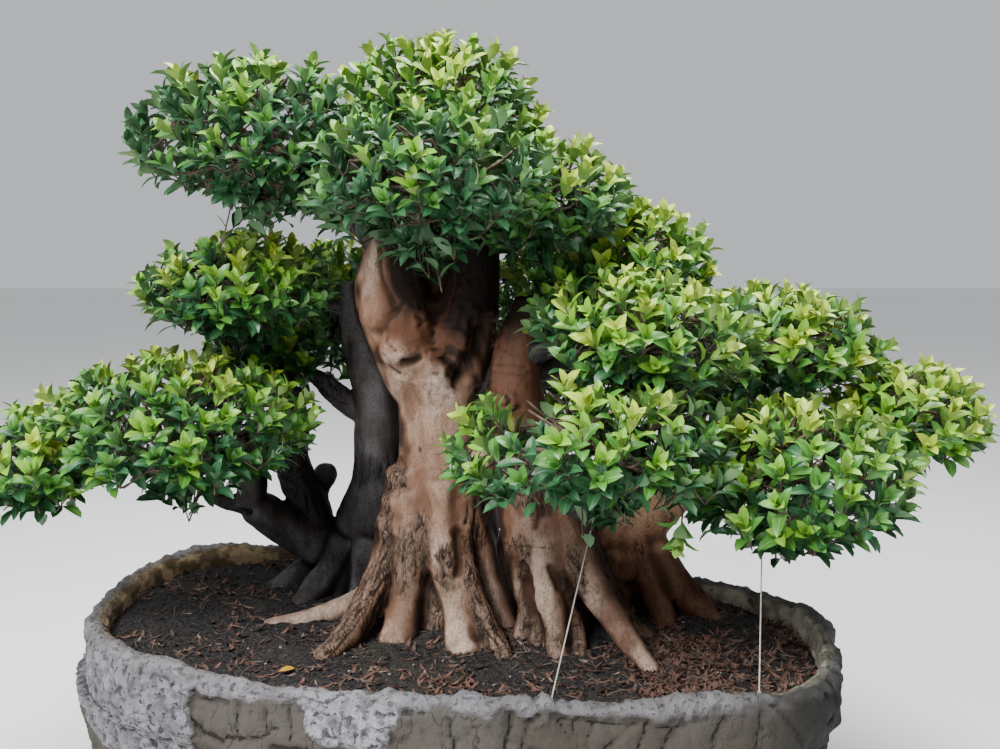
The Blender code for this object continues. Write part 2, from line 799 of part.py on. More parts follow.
def even_directions(count, turn):
    """Directions spread evenly over a ball, as along a spiral."""
    spread = []
    for index in range(count):
        height = 1 - 2 * (index + 0.5) / count
        angle = index * math.pi * (3 - math.sqrt(5)) + turn
        flat = math.sqrt(1 - height * height)
        spread.append(Vector((flat * math.cos(angle), flat * math.sin(angle), height)))
    return spread


def skin_area(half):
    """Rough area of a flattened ball."""
    a, b, c = half[0], half[1], half[2] * (1 + UNDERSIDE) / 2
    power = 1.6
    mean = ((a * b) ** power + (a * c) ** power + (b * c) ** power) / 3
    return 4 * math.pi * mean ** (1 / power)


def grow_leaf(foliage, obstacles, name, skin, rng):
    """Corners of a leaf that leaves the core at skin and keeps to its own space, or nothing."""
    outward = foliage.outward(name, skin)
    for attempt in range(LEAF_TRIES):
        flat = outward.orthogonal().normalized()
        flat.rotate(Matrix.Rotation(rng.uniform(0, 2 * math.pi), 3, outward))
        lift = math.radians(rng.uniform(*LEAF_LIFTS))
        along = flat * math.cos(lift) + outward * math.sin(lift) + Vector((0, 0, LEAF_UPTURN))
        along.normalize()
        length = LEAF_LENGTH * rng.uniform(*LEAF_SHARES) * (1 - LEAF_LOSS * attempt)
        root = skin - (outward + along) * LEAF_ROOT_DEPTH
        corners = leaf_corners(root, along, outward, length)
        if all(foliage.owns(name, corner) and obstacles.clear(corner) for corner in corners[1:]):
            return corners
    return None


def spread_out(name, count, rng):
    """Directions from the middle of a mass, even over its skin and a little shaken."""
    spread = []
    for direction in even_directions(count, rng.uniform(0, 2 * math.pi)):
        shaken = [part + rng.uniform(-SPREAD_SHAKE, SPREAD_SHAKE) for part in direction]
        stretched = [part * half for part, half in zip(shaken, MASSES[name][1])]
        spread.append(Vector(stretched).normalized())
    return spread


def grow_twigs(foliage, obstacles, name, tip, attempt, parts):
    """The stem from the bough's tip, the twigs that spread from it and their leaves, as loose solids."""
    rng = random.Random(f"{name} {attempt}")
    centre = Vector(MASSES[name][0])
    inward = (centre - tip.to_3d()).normalized()
    stem = [
        Vector((*(tip.to_3d() + inward * CLEARANCE), tip.w * 0.95)),
        Vector((*centre, tip.w * 0.6)),
    ]
    link_object("stem", mesh_from("stem", lambda shape: add_tube(shape, stem, STEM_SIDES)), parts)

    share = FEWER_LEAVES if attempt > 1 else 1.0
    count = round(skin_area(MASSES[name][1]) / AREA_PER_LEAF * share)
    for index, direction in enumerate(spread_out(name, count, rng)):
        skin = centre + direction * foliage.core_reach(name, direction, obstacles.clear)
        corners = grow_leaf(foliage, obstacles, name, skin, rng)
        if corners:
            link_object("leaf", mesh_from("leaf", lambda shape: add_leaf(shape, corners)), parts)
        end = skin + direction * TWIG_STANDS_OUT
        if index % LEAVES_PER_TWIG == 0 and foliage.owns(name, end) and obstacles.clear(end):
            twig = [
                Vector((*centre.lerp(skin, 0.6), TWIG_RADIUS)),
                Vector((*end, TWIG_RADIUS * 0.6)),
            ]
            link_object("twig", mesh_from("twig", lambda shape: add_tube(shape, twig, STEM_SIDES)), parts)


def is_closed(mesh):
    shape = bmesh.new()
    shape.from_mesh(mesh)
    closed = all(len(edge.link_faces) == 2 for edge in shape.edges)
    shape.free()
    return closed


def make_mass(name, foliage, obstacles, tip, limbs, material):
    """Core, stem, twigs and leaves fused into one solid that stays clear of the limbs."""
    for attempt in range(GROWTH_TRIES):
        parts = bpy.data.collections.new(f"{name}_parts")
        bpy.context.scene.collection.children.link(parts)
        grow_twigs(foliage, obstacles, name, tip, attempt, parts)
        core = mesh_from(name, lambda shape: add_core(shape, foliage, name, obstacles.clear))
        mass = link_object(name, core)
        fuse = mass.modifiers.new("fuse", "BOOLEAN")
        fuse.operation = "UNION"
        fuse.operand_type = "COLLECTION"
        fuse.collection = parts
        apply_modifiers(mass)
        for item in list(parts.objects):
            bpy.data.objects.remove(item, do_unlink=True)
        bpy.data.collections.remove(parts)
        keep_main_body(mass.data)
        for limb in limbs:
            carve(mass, limb)
        if is_closed(mass.data):
            break
        if attempt < GROWTH_TRIES - 1:
            bpy.data.objects.remove(mass, do_unlink=True)
    mass.data.materials.clear()
    mass.data.materials.append(material)
    return mass


# Training strings


def first_surface(item, start, along):
    """Where a ray first meets the item, drawn back until a knot there just clears it."""
    shape = bmesh.new()
    shape.from_mesh(item.data)
    tree = BVHTree.FromBMesh(shape)
    shape.free()
    point, _, _, _ = tree.ray_cast(start, along)
    while tree.find_nearest(point)[3] < KNOT_RADIUS + CLEARANCE:
        point = point - along * CLEARANCE / 4
    return point


def knot_rings(point, along):
    """A rounded knot that narrows into the string."""
    profile = ((-0.9, 0.35), (-0.4, 0.9), (0.4, 0.9))
    rings = [Vector((*(point + along * (KNOT_RADIUS * at)), KNOT_RADIUS * wide)) for at, wide in profile]
    return rings + [Vector((*(point + along * KNOT_RADIUS), TIE_RADIUS))]


def make_tie(name, pot, holders, material):
    """A taut string with a knot at each end, just clear of the pot's rim and of what it holds."""
    turn, high, holder = TIES[name]
    low = pot_point(turn * POT_SIDES, TIE_INSET, POT_HEIGHT, 0.0)
    along = (Vector(high) - low).normalized()
    low = first_surface(pot, Vector(high), -along)
    high = first_surface(holders[holder], low + along * TIE_RUN_UP, along)
    path = knot_rings(low, along) + list(reversed(knot_rings(high, -along)))
    return make_limb(name, path, TIE_SIDES, material)


def place_on(parent, item, anchor):
    """Give the item its own origin and hang it on the parent."""
    item.data.transform(Matrix.Translation(-anchor))
    item.location = anchor
    item.parent = parent


def main():
    clear_scene()
    materials = make_materials()
    pot = make_pot(materials)
    soil = make_soil(materials)
    wood = make_wood(materials)

    foliage = Foliage()
    obstacles = Obstacles()
    for stations in (*THICK_WOOD, *LIMBS.values()):
        obstacles.add(smooth_path(stations, 3))
    tips = {mass: Vector(LIMBS[limb][-1]) for mass, limb in TIP_MASSES.items()}
    for name, (mass, *_) in BOUGHS.items():
        path = bough_path(foliage, name)
        tips[mass] = path[-1]
        obstacles.add(path)
        bough = make_limb(name, path, BOUGH_SIDES, materials["dark_bark"])
        for other in wood.values():
            carve(bough, other)
        wood[name] = bough

    masses = {}
    for name in MASSES:
        masses[name] = make_mass(name, foliage, obstacles, tips[name], wood.values(), materials["foliage"])

    ties = {name: make_tie(name, pot, {**wood, **masses}, materials["string"]) for name in TIES}

    plant = bpy.data.objects.new("plant", None)
    bpy.context.scene.collection.objects.link(plant)
    for item in (pot, soil):
        item.parent = plant
    for item in (*wood.values(), *masses.values(), *ties.values()):
        corners = [Vector(corner) for corner in item.bound_box]
        place_on(plant, item, sum(corners, Vector()) / len(corners))


main()
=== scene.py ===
"""Looks of the bonsai fig in its rock pot: bark, leaves, rock, soil, litter and training strings.

X runs to the right along the pot, Y away from its front and Z up, in metres.
"""
import math
import random

import bmesh
import bpy
import numpy
from mathutils import Matrix, Vector, noise


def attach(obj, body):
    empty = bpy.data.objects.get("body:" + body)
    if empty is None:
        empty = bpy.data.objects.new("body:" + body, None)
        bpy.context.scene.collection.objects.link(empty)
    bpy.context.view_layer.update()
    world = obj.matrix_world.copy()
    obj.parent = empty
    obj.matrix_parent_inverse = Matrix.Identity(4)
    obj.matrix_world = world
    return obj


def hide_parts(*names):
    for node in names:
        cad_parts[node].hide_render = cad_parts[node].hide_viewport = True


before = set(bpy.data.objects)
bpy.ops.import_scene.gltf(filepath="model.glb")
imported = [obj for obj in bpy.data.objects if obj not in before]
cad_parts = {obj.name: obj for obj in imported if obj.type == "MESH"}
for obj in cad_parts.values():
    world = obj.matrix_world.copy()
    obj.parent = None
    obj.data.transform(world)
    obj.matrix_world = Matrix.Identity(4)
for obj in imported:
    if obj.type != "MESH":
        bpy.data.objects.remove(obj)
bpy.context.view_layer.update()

# Camera and lights
CAMERA_PLACE = (0.11, -2.075, 1.214)
CAMERA_TILT = 7.1
CAMERA_LENS = 36.0
SENSOR_WIDTH = 36.0
FLOOR_HALF_WIDTH = 30.0
SKY_COLOUR = (0.93, 0.96, 1.0)
SKY_STRENGTH = 0.64
FLOOR_COLOUR = (0.80, 0.80, 0.79)
# Soft boxes: place, what each faces, its width and its power
SOFT_BOXES = {
    "key": ((-1.8, -2.4, 3.4), (0.0, 0.0, 0.8), 1.8, 270.0),
    "top": ((0.5, 0.3, 4.8), (0.0, 0.1, 0.8), 2.6, 400.0),
}

# Pot, as in the solid
POT_HALF_LENGTH = 0.79
POT_FRONT_DEPTH = 0.46
POT_BACK_DEPTH = 0.445
POT_BACK_NARROWING = 0.085
POT_SLEW = 0.14
POT_HEIGHT = 0.45
POT_SQUARENESS = 2.6
POT_WALL = 0.052
POT_ROUGHNESS = 0.009
ROCK_LUMPS_PER_METRE = (6, 6, 9)
COURSE_LEVEL = 0.315
POT_LEDGE = 0.045
POT_LEDGE_LEVELS = (0.14, COURSE_LEVEL)
POT_LEDGE_SHARPNESS = 8
SOIL_LEVEL = 0.405
POT_FLOOR = 0.07
# Section of the pot up the outside, over the rim and down to the soil:
# height, inset from the widest outline, share of the rock's roughness
POT_SECTION = (
    (0.0, 0.085, 0.3),
    (0.015, 0.070, 0.6),
    (0.120, 0.046, 1.0),
    (0.230, 0.028, 1.0),
    (COURSE_LEVEL - 0.015, 0.024, 0.9),
    (COURSE_LEVEL + 0.005, 0.007, 0.9),
    (0.365, 0.0, 1.0),
    (0.420, 0.003, 0.8),
    (POT_HEIGHT - 0.006, 0.010, 0.5),
    (POT_HEIGHT, 0.022, 0.3),
    (POT_HEIGHT - 0.003, POT_WALL - 0.010, 0.3),
    (POT_HEIGHT - 0.018, POT_WALL - 0.002, 0.3),
    (SOIL_LEVEL, POT_WALL, 0.0),
    (SOIL_LEVEL - 0.05, POT_WALL + 0.003, 0.0),
)
# Waves round the rim: how many, phase and height
RIM_WAVES = ((5, 1.0, 0.006), (11, 0.0, 0.004))
RIM_WAVE_LEVEL = 0.435
ROCK_GRAIN = 0.006
RIM_CRUMBLE = 0.008
# Lower edge of the pale stucco along the front: X and height
STUCCO_EDGE = (
    (-0.80, 0.30), (-0.70, 0.24), (-0.50, 0.22), (-0.465, 0.24), (-0.452, 0.420), (-0.245, 0.427),
    (-0.205, 0.368), (-0.17, 0.352), (-0.10, 0.360), (-0.075, 0.405), (-0.055, 0.432),
    (0.10, 0.436), (0.18, 0.438), (0.27, 0.430), (0.45, 0.440), (0.62, 0.450), (0.80, 0.450),
)
# Flaked stretch of the stucco: X where it begins and is full, then where it fades and ends
FLAKED = ((-0.25, -0.22), (-0.08, -0.05))
# Cracks in the front's blocks, as lines of X and Z
ROCK_CRACKS = (
    ((0.214, 0.429), (0.277, 0.425), (0.344, 0.430), (0.378, 0.422), (0.415, 0.425)),
    ((0.319, 0.461), (0.314, 0.431)),
    ((0.344, 0.455), (0.331, 0.431), (0.288, 0.383), (0.270, 0.340)),
    ((0.369, 0.448), (0.353, 0.420), (0.337, 0.383), (0.322, 0.330)),
    ((0.429, 0.440), (0.399, 0.415), (0.382, 0.382), (0.360, 0.330)),
    ((0.230, 0.451), (0.231, 0.415), (0.241, 0.382), (0.236, 0.340)),
    ((0.264, 0.427), (0.254, 0.382), (0.262, 0.330)),
    ((0.130, 0.438), (0.123, 0.402), (0.118, 0.377), (0.124, 0.330)),
    ((0.123, 0.436), (0.169, 0.452)),
    ((0.160, 0.430), (0.147, 0.378), (0.152, 0.340)),
    ((0.204, 0.429), (0.224, 0.389)),
    ((-0.359, 0.407), (-0.364, 0.361), (-0.353, 0.340)),
    ((-0.309, 0.406), (-0.303, 0.365)),
    ((-0.261, 0.413), (-0.258, 0.370), (-0.270, 0.335)),
    ((-0.450, 0.420), (-0.437, 0.407), (-0.380, 0.411)),
    ((-0.440, 0.345), (-0.400, 0.338), (-0.353, 0.348), (-0.311, 0.358), (-0.288, 0.376)),
    ((0.020, 0.420), (0.030, 0.380), (0.022, 0.335)),
    ((0.490, 0.430), (0.470, 0.390), (0.462, 0.340)),
    ((0.560, 0.430), (0.548, 0.390), (0.552, 0.330)),
)
CRACK_REACH = 0.022
# Deep shadows under the course of blocks, drawn the same way, and how much wider they are
ROCK_CLEFTS = (
    ((-0.300, 0.341), (-0.200, 0.338), (-0.120, 0.338), (-0.060, 0.346)),
    ((-0.462, 0.362), (-0.430, 0.342), (-0.395, 0.334)),
)
CLEFT_WIDTH = 3.0
# Pebble set in the rim: X, Z and radius
ROCK_PEBBLE = (0.186, 0.444, 0.014)
BLOCKS_PER_METRE = (9.0, 9.0, 7.0)
RIM_TOP = 0.46
# About the length of the pot's outline, which is cut into columns one grain wide
POT_AROUND = 4.25
# Heights of the rock's relief, block by block, on all of it, and in its stucco
BLOCK_BULGE = 0.006
BLOCK_STEP = 0.0035
BLOCK_INSET = 0.008
BLOCK_GROOVE = 0.004
BLOCK_GRAIN = 0.002
STRATA_DEPTH = 0.006
ROCK_ROUGHNESS = 0.0035
STUCCO_COAT = 0.0035
STUCCO_LUMPS = 0.0042
STUCCO_KNOBS = 0.0050
STUCCO_PITS = 0.0050
FLAKE_DEPTH = 0.0035
PEBBLE_HEIGHT = 0.009
CRACK_TREMBLE = 0.005
# Rounds of blurring and depth that tell a hollow in the rock
ROCK_HOLLOW_TEST = (8, 0.0026)
# Colours of the rock: pairs go from the darker to the lighter patches
ROCK_TONES = {
    "stucco": ((0.175, 0.165, 0.180), (0.30, 0.29, 0.325)),
    "stucco_shade_specks": (0.085, 0.078, 0.086),
    "flakes": (0.40, 0.41, 0.45),
    "shaded_pores": (0.030, 0.028, 0.032),
    "blocks": ((0.050, 0.042, 0.034), (0.091, 0.079, 0.065)),
    "olive": (0.066, 0.062, 0.042),
    "grey": (0.085, 0.074, 0.070),
    "block_specks": (0.036, 0.030, 0.025),
    "streaks": (0.085, 0.080, 0.075),
    "darker_right": (0.060, 0.052, 0.040),
    "near_black": (0.017, 0.017, 0.016),
    "worn_rim": (0.13, 0.125, 0.12),
    "lichen": ((0.20, 0.185, 0.145), (0.45, 0.41, 0.33)),
    "ochre": ((0.14, 0.094, 0.050), (0.46, 0.33, 0.19)),
    # Painted shade for the hollows and a painted highlight for the ridges
    "hollows": (0.035, 0.032, 0.032),
    "ridges": (0.34, 0.325, 0.34),
    "crack_edges_and_cleft_shadow": (0.050, 0.038, 0.028),
    "cracks": (0.016, 0.012, 0.010),
    "seams": (0.018, 0.015, 0.013),
    "slits": (0.022, 0.017, 0.014),
}

# Wood: stations along each limb as x, y, z and radius
TRUNK = (
    (0.004, 0.105, 0.380, 0.092),
    (-0.008, 0.092, 0.500, 0.102),
    (-0.021, 0.080, 0.620, 0.125),
    (-0.010, 0.070, 0.780, 0.101),
    (-0.014, 0.065, 0.895, 0.099),
    (-0.040, 0.060, 1.000, 0.092),
)
FORK_LEFT = (
    (-0.045, 0.055, 0.900, 0.066),
    (-0.068, 0.050, 0.970, 0.078),
    (-0.116, 0.040, 1.110, 0.076),
    (-0.114, 0.030, 1.190, 0.064),
    (-0.106, 0.030, 1.260, 0.048),
)
FORK_RIGHT = (
    (0.000, 0.060, 0.950, 0.088),
    (0.035, 0.070, 1.086, 0.074),
    (0.050, 0.080, 1.193, 0.060),
    (0.050, 0.090, 1.290, 0.044),
)
FORK_BACK = (
    (-0.030, 0.105, 0.930, 0.074),
    (-0.038, 0.130, 1.100, 0.070),
    (-0.035, 0.140, 1.330, 0.042),
)
STEM_RIGHT = (
    (0.238, -0.010, 0.380, 0.068),
    (0.224, -0.018, 0.500, 0.076),
    (0.212, -0.025, 0.598, 0.092),
    (0.188, -0.015, 0.713, 0.087),
    (0.157, 0.000, 0.838, 0.068),
    (0.144, 0.000, 0.923, 0.058),
    (0.156, 0.020, 1.016, 0.048),
    (0.181, 0.030, 1.110, 0.038),
)
STEM_REAR_RIGHT = (
    (0.442, 0.130, 0.380, 0.074),
    (0.411, 0.130, 0.490, 0.078),
    (0.402, 0.122, 0.593, 0.086),
    (0.484, 0.090, 0.680, 0.056),
    (0.556, 0.060, 0.743, 0.042),
)
STEM_REAR_LEFT = (
    (-0.255, 0.250, 0.380, 0.100),
    (-0.211, 0.240, 0.553, 0.076),
    (-0.176, 0.220, 0.679, 0.059),
    (-0.168, 0.210, 0.800, 0.058),
    (-0.180, 0.200, 0.918, 0.050),
    (-0.221, 0.190, 1.034, 0.033),
    (-0.236, 0.180, 1.140, 0.024),
)
LIMBS = {
    "bough_low_left": (
        (-0.275, 0.250, 0.500, 0.075),
        (-0.342, 0.240, 0.540, 0.058),
        (-0.411, 0.210, 0.586, 0.046),
        (-0.460, 0.182, 0.630, 0.038),
    ),
    "bough_low_left_end": (
        (-0.466, 0.178, 0.634, 0.036),
        (-0.458, 0.170, 0.695, 0.031),
        (-0.480, 0.150, 0.730, 0.028),
        (-0.509, 0.122, 0.764, 0.024),
    ),
    "twig_low_left": (
        (-0.460, 0.185, 0.620, 0.020),
        (-0.535, 0.160, 0.653, 0.016),
        (-0.578, 0.140, 0.698, 0.013),
        (-0.610, 0.122, 0.734, 0.010),
    ),
    "stem_inner_left": (
        (-0.320, 0.250, 0.535, 0.050),
        (-0.354, 0.240, 0.638, 0.043),
        (-0.378, 0.230, 0.725, 0.034),
        (-0.365, 0.220, 0.810, 0.026),
        (-0.367, 0.210, 0.895, 0.018),
    ),
    "stub_left": (
        (-0.310, 0.262, 0.550, 0.032),
        (-0.326, 0.285, 0.626, 0.020),
        (-0.310, 0.290, 0.680, 0.026),
        (-0.306, 0.290, 0.700, 0.015),
    ),
    "branch_left": (
        (-0.185, 0.210, 0.830, 0.034),
        (-0.255, 0.200, 0.879, 0.024),
        (-0.300, 0.205, 0.915, 0.018),
        (-0.325, 0.215, 0.930, 0.014),
    ),
    "stub_right": (
        (0.205, -0.040, 0.690, 0.046),
        (0.262, -0.078, 0.697, 0.034),
        (0.308, -0.100, 0.704, 0.026),
    ),
}
# Roots, which rise up the wood as ridges: bearing and its swing in degrees, reach from the
# foot's middle, height of the top, radius there and at the tip, cragginess
TRUNK_ROOTS = (
    (186, 6, 0.420, 0.515, 0.042, 0.015, -0.3),
    (206, 19, 0.370, 0.730, 0.046, 0.024, 0.9),
    (229, 8, 0.222, 0.700, 0.043, 0.046, -0.4),
    (252, 2, 0.140, 0.720, 0.026, 0.020, 1.0),
    (271, 8, 0.252, 0.720, 0.042, 0.034, -0.4),
    (287, 5, 0.290, 0.690, 0.030, 0.021, 1.0),
    (322, 0, 0.170, 0.640, 0.034, 0.024, 0.4),
    (10, 0, 0.190, 0.620, 0.036, 0.026, 0.3),
    (70, 8, 0.270, 0.650, 0.050, 0.022, 0.5),
    (112, -6, 0.270, 0.680, 0.050, 0.022, 0.1),
    (150, 6, 0.250, 0.640, 0.048, 0.022, 0.5),
)
STEM_RIGHT_ROOTS = (
    (210, 8, 0.112, 0.650, 0.026, 0.017, 0.5),
    (236, 10, 0.128, 0.560, 0.020, 0.016, 1.0),
    (258, 8, 0.150, 0.730, 0.036, 0.020, 0.3),
    (290, -6, 0.150, 0.560, 0.022, 0.016, 0.9),
    (303, 4, 0.280, 0.730, 0.046, 0.017, -0.1),
    (334, 14, 0.200, 0.600, 0.034, 0.018, 0.7),
    (20, 10, 0.210, 0.600, 0.044, 0.020, 0.3),
    (95, 0, 0.160, 0.600, 0.040, 0.024, 0.3),
)
STEM_REAR_RIGHT_ROOTS = (
    (232, 0, 0.135, 0.540, 0.036, 0.022, 0.5),
    (278, 4, 0.140, 0.560, 0.034, 0.024, 0.5),
    (320, 8, 0.185, 0.560, 0.042, 0.015, 0.3),
    (352, 6, 0.175, 0.520, 0.040, 0.015, 0.3),
    (60, 0, 0.140, 0.540, 0.040, 0.024, 0.3),
    (148, 0, 0.150, 0.520, 0.044, 0.024, 0.3),
)
STEM_REAR_LEFT_ROOTS = (
    (175, 10, 0.190, 0.540, 0.048, 0.022, 0.3),
    (230, 0, 0.150, 0.540, 0.040, 0.024, 0.3),
    (290, 0, 0.140, 0.540, 0.038, 0.024, 0.3),
    (120, 0, 0.180, 0.520, 0.044, 0.022, 0.3),
    (60, -5, 0.170, 0.520, 0.040, 0.022, 0.3),
)
ROOT_STATIONS = 11
# Shifts in the noise that shakes a root's bearing and its thickness: by how many degrees,
# by what share
ROOT_SHAKES = (0.0, 31.7)
ROOT_WOBBLE = 7.0
ROOT_UNEVENNESS = 0.30
# Where a root starts, as a share of the wood's radius, and how it leaves the wood and falls
ROOT_START = 0.72
ROOT_SPREAD = 1.45
ROOT_LEAVING = 1.6
ROOT_FALL = 1.5
ROOT_DIVE = 0.45
# Swellings as x, y, z and radius
TRUNK_BURLS = (
    (-0.138, 0.010, 1.085, 0.046),
    (-0.102, -0.008, 1.010, 0.040),
    (0.070, -0.010, 0.760, 0.040),
    (-0.110, 0.012, 0.675, 0.034),
    (-0.118, 0.010, 0.630, 0.040),
)
STEM_RIGHT_BURLS = ((0.120, -0.050, 0.900, 0.026), (0.262, -0.046, 0.620, 0.034))
STEM_REAR_RIGHT_BURLS = ((0.380, 0.065, 0.530, 0.050),)

# Foliage, as in the solids: middle of each mass and its half width, half depth and half height
MASSES = {
    "crown_top": ((-0.020, 0.100, 1.485), (0.240, 0.240, 0.200)),
    "crown_left": ((-0.375, -0.010, 1.430), (0.265, 0.240, 0.195)),
    "crown_front": ((-0.020, -0.190, 1.340), (0.260, 0.200, 0.165)),
    "crown_right": ((0.185, -0.010, 1.310), (0.210, 0.210, 0.160)),
    "crown_back": ((-0.060, 0.370, 1.350), (0.310, 0.260, 0.195)),
    "right_shoulder": ((0.345, 0.130, 1.175), (0.250, 0.240, 0.185)),
    "right_middle": ((0.375, -0.170, 1.050), (0.250, 0.210, 0.155)),
    "right_slope": ((0.715, 0.100, 1.005), (0.240, 0.240, 0.160)),
    "right_tip": ((0.955, 0.010, 0.870), (0.195, 0.210, 0.140)),
    "lower_right_front": ((0.280, -0.310, 0.862), (0.295, 0.195, 0.160)),
    "lower_right": ((0.655, -0.210, 0.785), (0.260, 0.240, 0.180)),
    "left_upper": ((-0.455, 0.130, 1.130), (0.235, 0.230, 0.145)),
    "left_inner": ((-0.405, 0.310, 0.985), (0.210, 0.180, 0.115)),
    "lower_left": ((-0.560, -0.010, 0.850), (0.300, 0.270, 0.180)),
    "lower_left_tip": ((-0.835, -0.030, 0.795), (0.210, 0.220, 0.130)),
    "back_left": ((-0.340, 0.530, 1.110), (0.280, 0.240, 0.155)),
    "back_right": ((0.290, 0.490, 1.080), (0.290, 0.250, 0.180)),
    "back_low": ((0.120, 0.520, 0.850), (0.240, 0.200, 0.130)),
    "back_slope": ((0.680, 0.410, 0.910), (0.260, 0.240, 0.160)),
}
UNDERSIDE = 0.80
SQUARENESS = 2.2
# How a mass's own space is probed along a ray
REACH_START = 0.1
REACH_STEPS = 37
REACH_SLACK = 0.001
# Which masses are joined into one piece of leaves and one of twigs
REGIONS = {
    "crown": ("crown_top", "crown_right"),
    "crown_left": ("crown_left", "crown_front"),
    "back_left": ("crown_back", "back_left"),
    "back_right": ("back_right", "back_low", "back_slope"),
    "left": ("left_upper", "left_inner", "lower_left", "lower_left_tip"),
    "right": ("right_shoulder", "right_middle", "right_slope", "right_tip"),
    "lower_right": ("lower_right_front", "lower_right"),
}
# Hidden boughs by the mass each ends in: start inside thicker wood, radius there, rise halfway
BOUGHS = {
    "crown_left": ((-0.118, 0.030, 1.200), 0.036, 0.030),
    "crown_top": ((0.054, 0.090, 1.270), 0.040, 0.0),
    "crown_front": ((-0.105, 0.020, 1.235), 0.032, 0.020),
    "crown_right": ((0.065, 0.075, 1.200), 0.034, 0.0),
    "crown_back": ((0.040, 0.090, 1.200), 0.034, 0.0),
    "right_shoulder": ((0.180, 0.030, 1.095), 0.030, 0.0),
    "right_middle": ((0.160, 0.010, 0.990), 0.030, 0.010),
    "right_slope": ((0.155, 0.020, 0.960), 0.032, 0.030),
    "right_tip": ((0.540, 0.070, 0.735), 0.034, 0.010),
    "lower_right": ((0.490, 0.095, 0.690), 0.032, -0.015),
    "lower_right_front": ((0.150, -0.010, 0.835), 0.034, 0.0),
    "left_upper": ((-0.228, 0.186, 1.080), 0.024, 0.0),
    "left_inner": ((-0.367, 0.210, 0.886), 0.016, 0.0),
    "lower_left_tip": ((-0.604, 0.126, 0.728), 0.010, -0.010),
    "back_left": ((-0.200, 0.200, 0.930), 0.026, 0.030),
    "back_right": ((-0.010, 0.110, 0.900), 0.042, 0.030),
    "back_low": ((-0.020, 0.130, 0.760), 0.040, -0.010),
    "back_slope": ((0.440, 0.115, 0.620), 0.038, 0.030),
}
TIP_MASSES = {"lower_left": "bough_low_left_end"}
BOUGH_TAPER = 0.45
BOUGH_STATIONS = 4
BOUGH_HALFWAY = 0.55
BOUGH_END_DEPTH = 0.05
# Least distance from a bough's end to its mass's middle, and where a short bough bends
BOUGH_LEAST_REACH = 0.04
SHORT_BOUGH_BEND = 0.4

# Noise: how far apart two seeds lie in it, how fast finer octaves fade, how much finer each is
SEED_SHIFT = 17.3
OCTAVE_FADE = 0.9
OCTAVE_STEP = 2.1
# Scale at which the middle of a cell gives the cell its random number
CELL_MARK_SCALE = 3.7

# Bark: voxel size of a skin and how often its faces are split
STOUT_SKIN = (0.0085, 1)
LIMB_SKIN = (0.0055, 0)
BOUGH_SKIN = (0.0048, 0)
TUBE_SIDES = 24
AXIS_STEP = 0.008
BARK_SINK = 0.02
# Each limb's grain starts this much further along than the one before
LIMB_SHIFT = 3.1
SEARCH_CHUNK = 4000
# Heights of the bark's relief, on a limb of full thickness
FULL_THICKNESS = 0.12
BROAD_FOLDS = 0.012
NARROW_FOLDS = 0.007
CRUST_PLATES = 0.0050
CRUST_CRACKS = 0.0045
FINE_GRAIN = 0.0007
CRUSTY_GRAIN = 0.0010
CREASES = 0.0010
# Rounds of blurring and depth that tell a narrow hollow and a valley
HOLLOW_TEST = (8, 0.0022)
VALLEY_TEST = (90, 0.0160)
# Valleys: rounds of blurring that find them, share by which they are deepened, range that counts
VALLEY_ROUNDS = 90
VALLEY_SHARE = 0.75
VALLEY_LIMITS = (-0.004, 0.022)
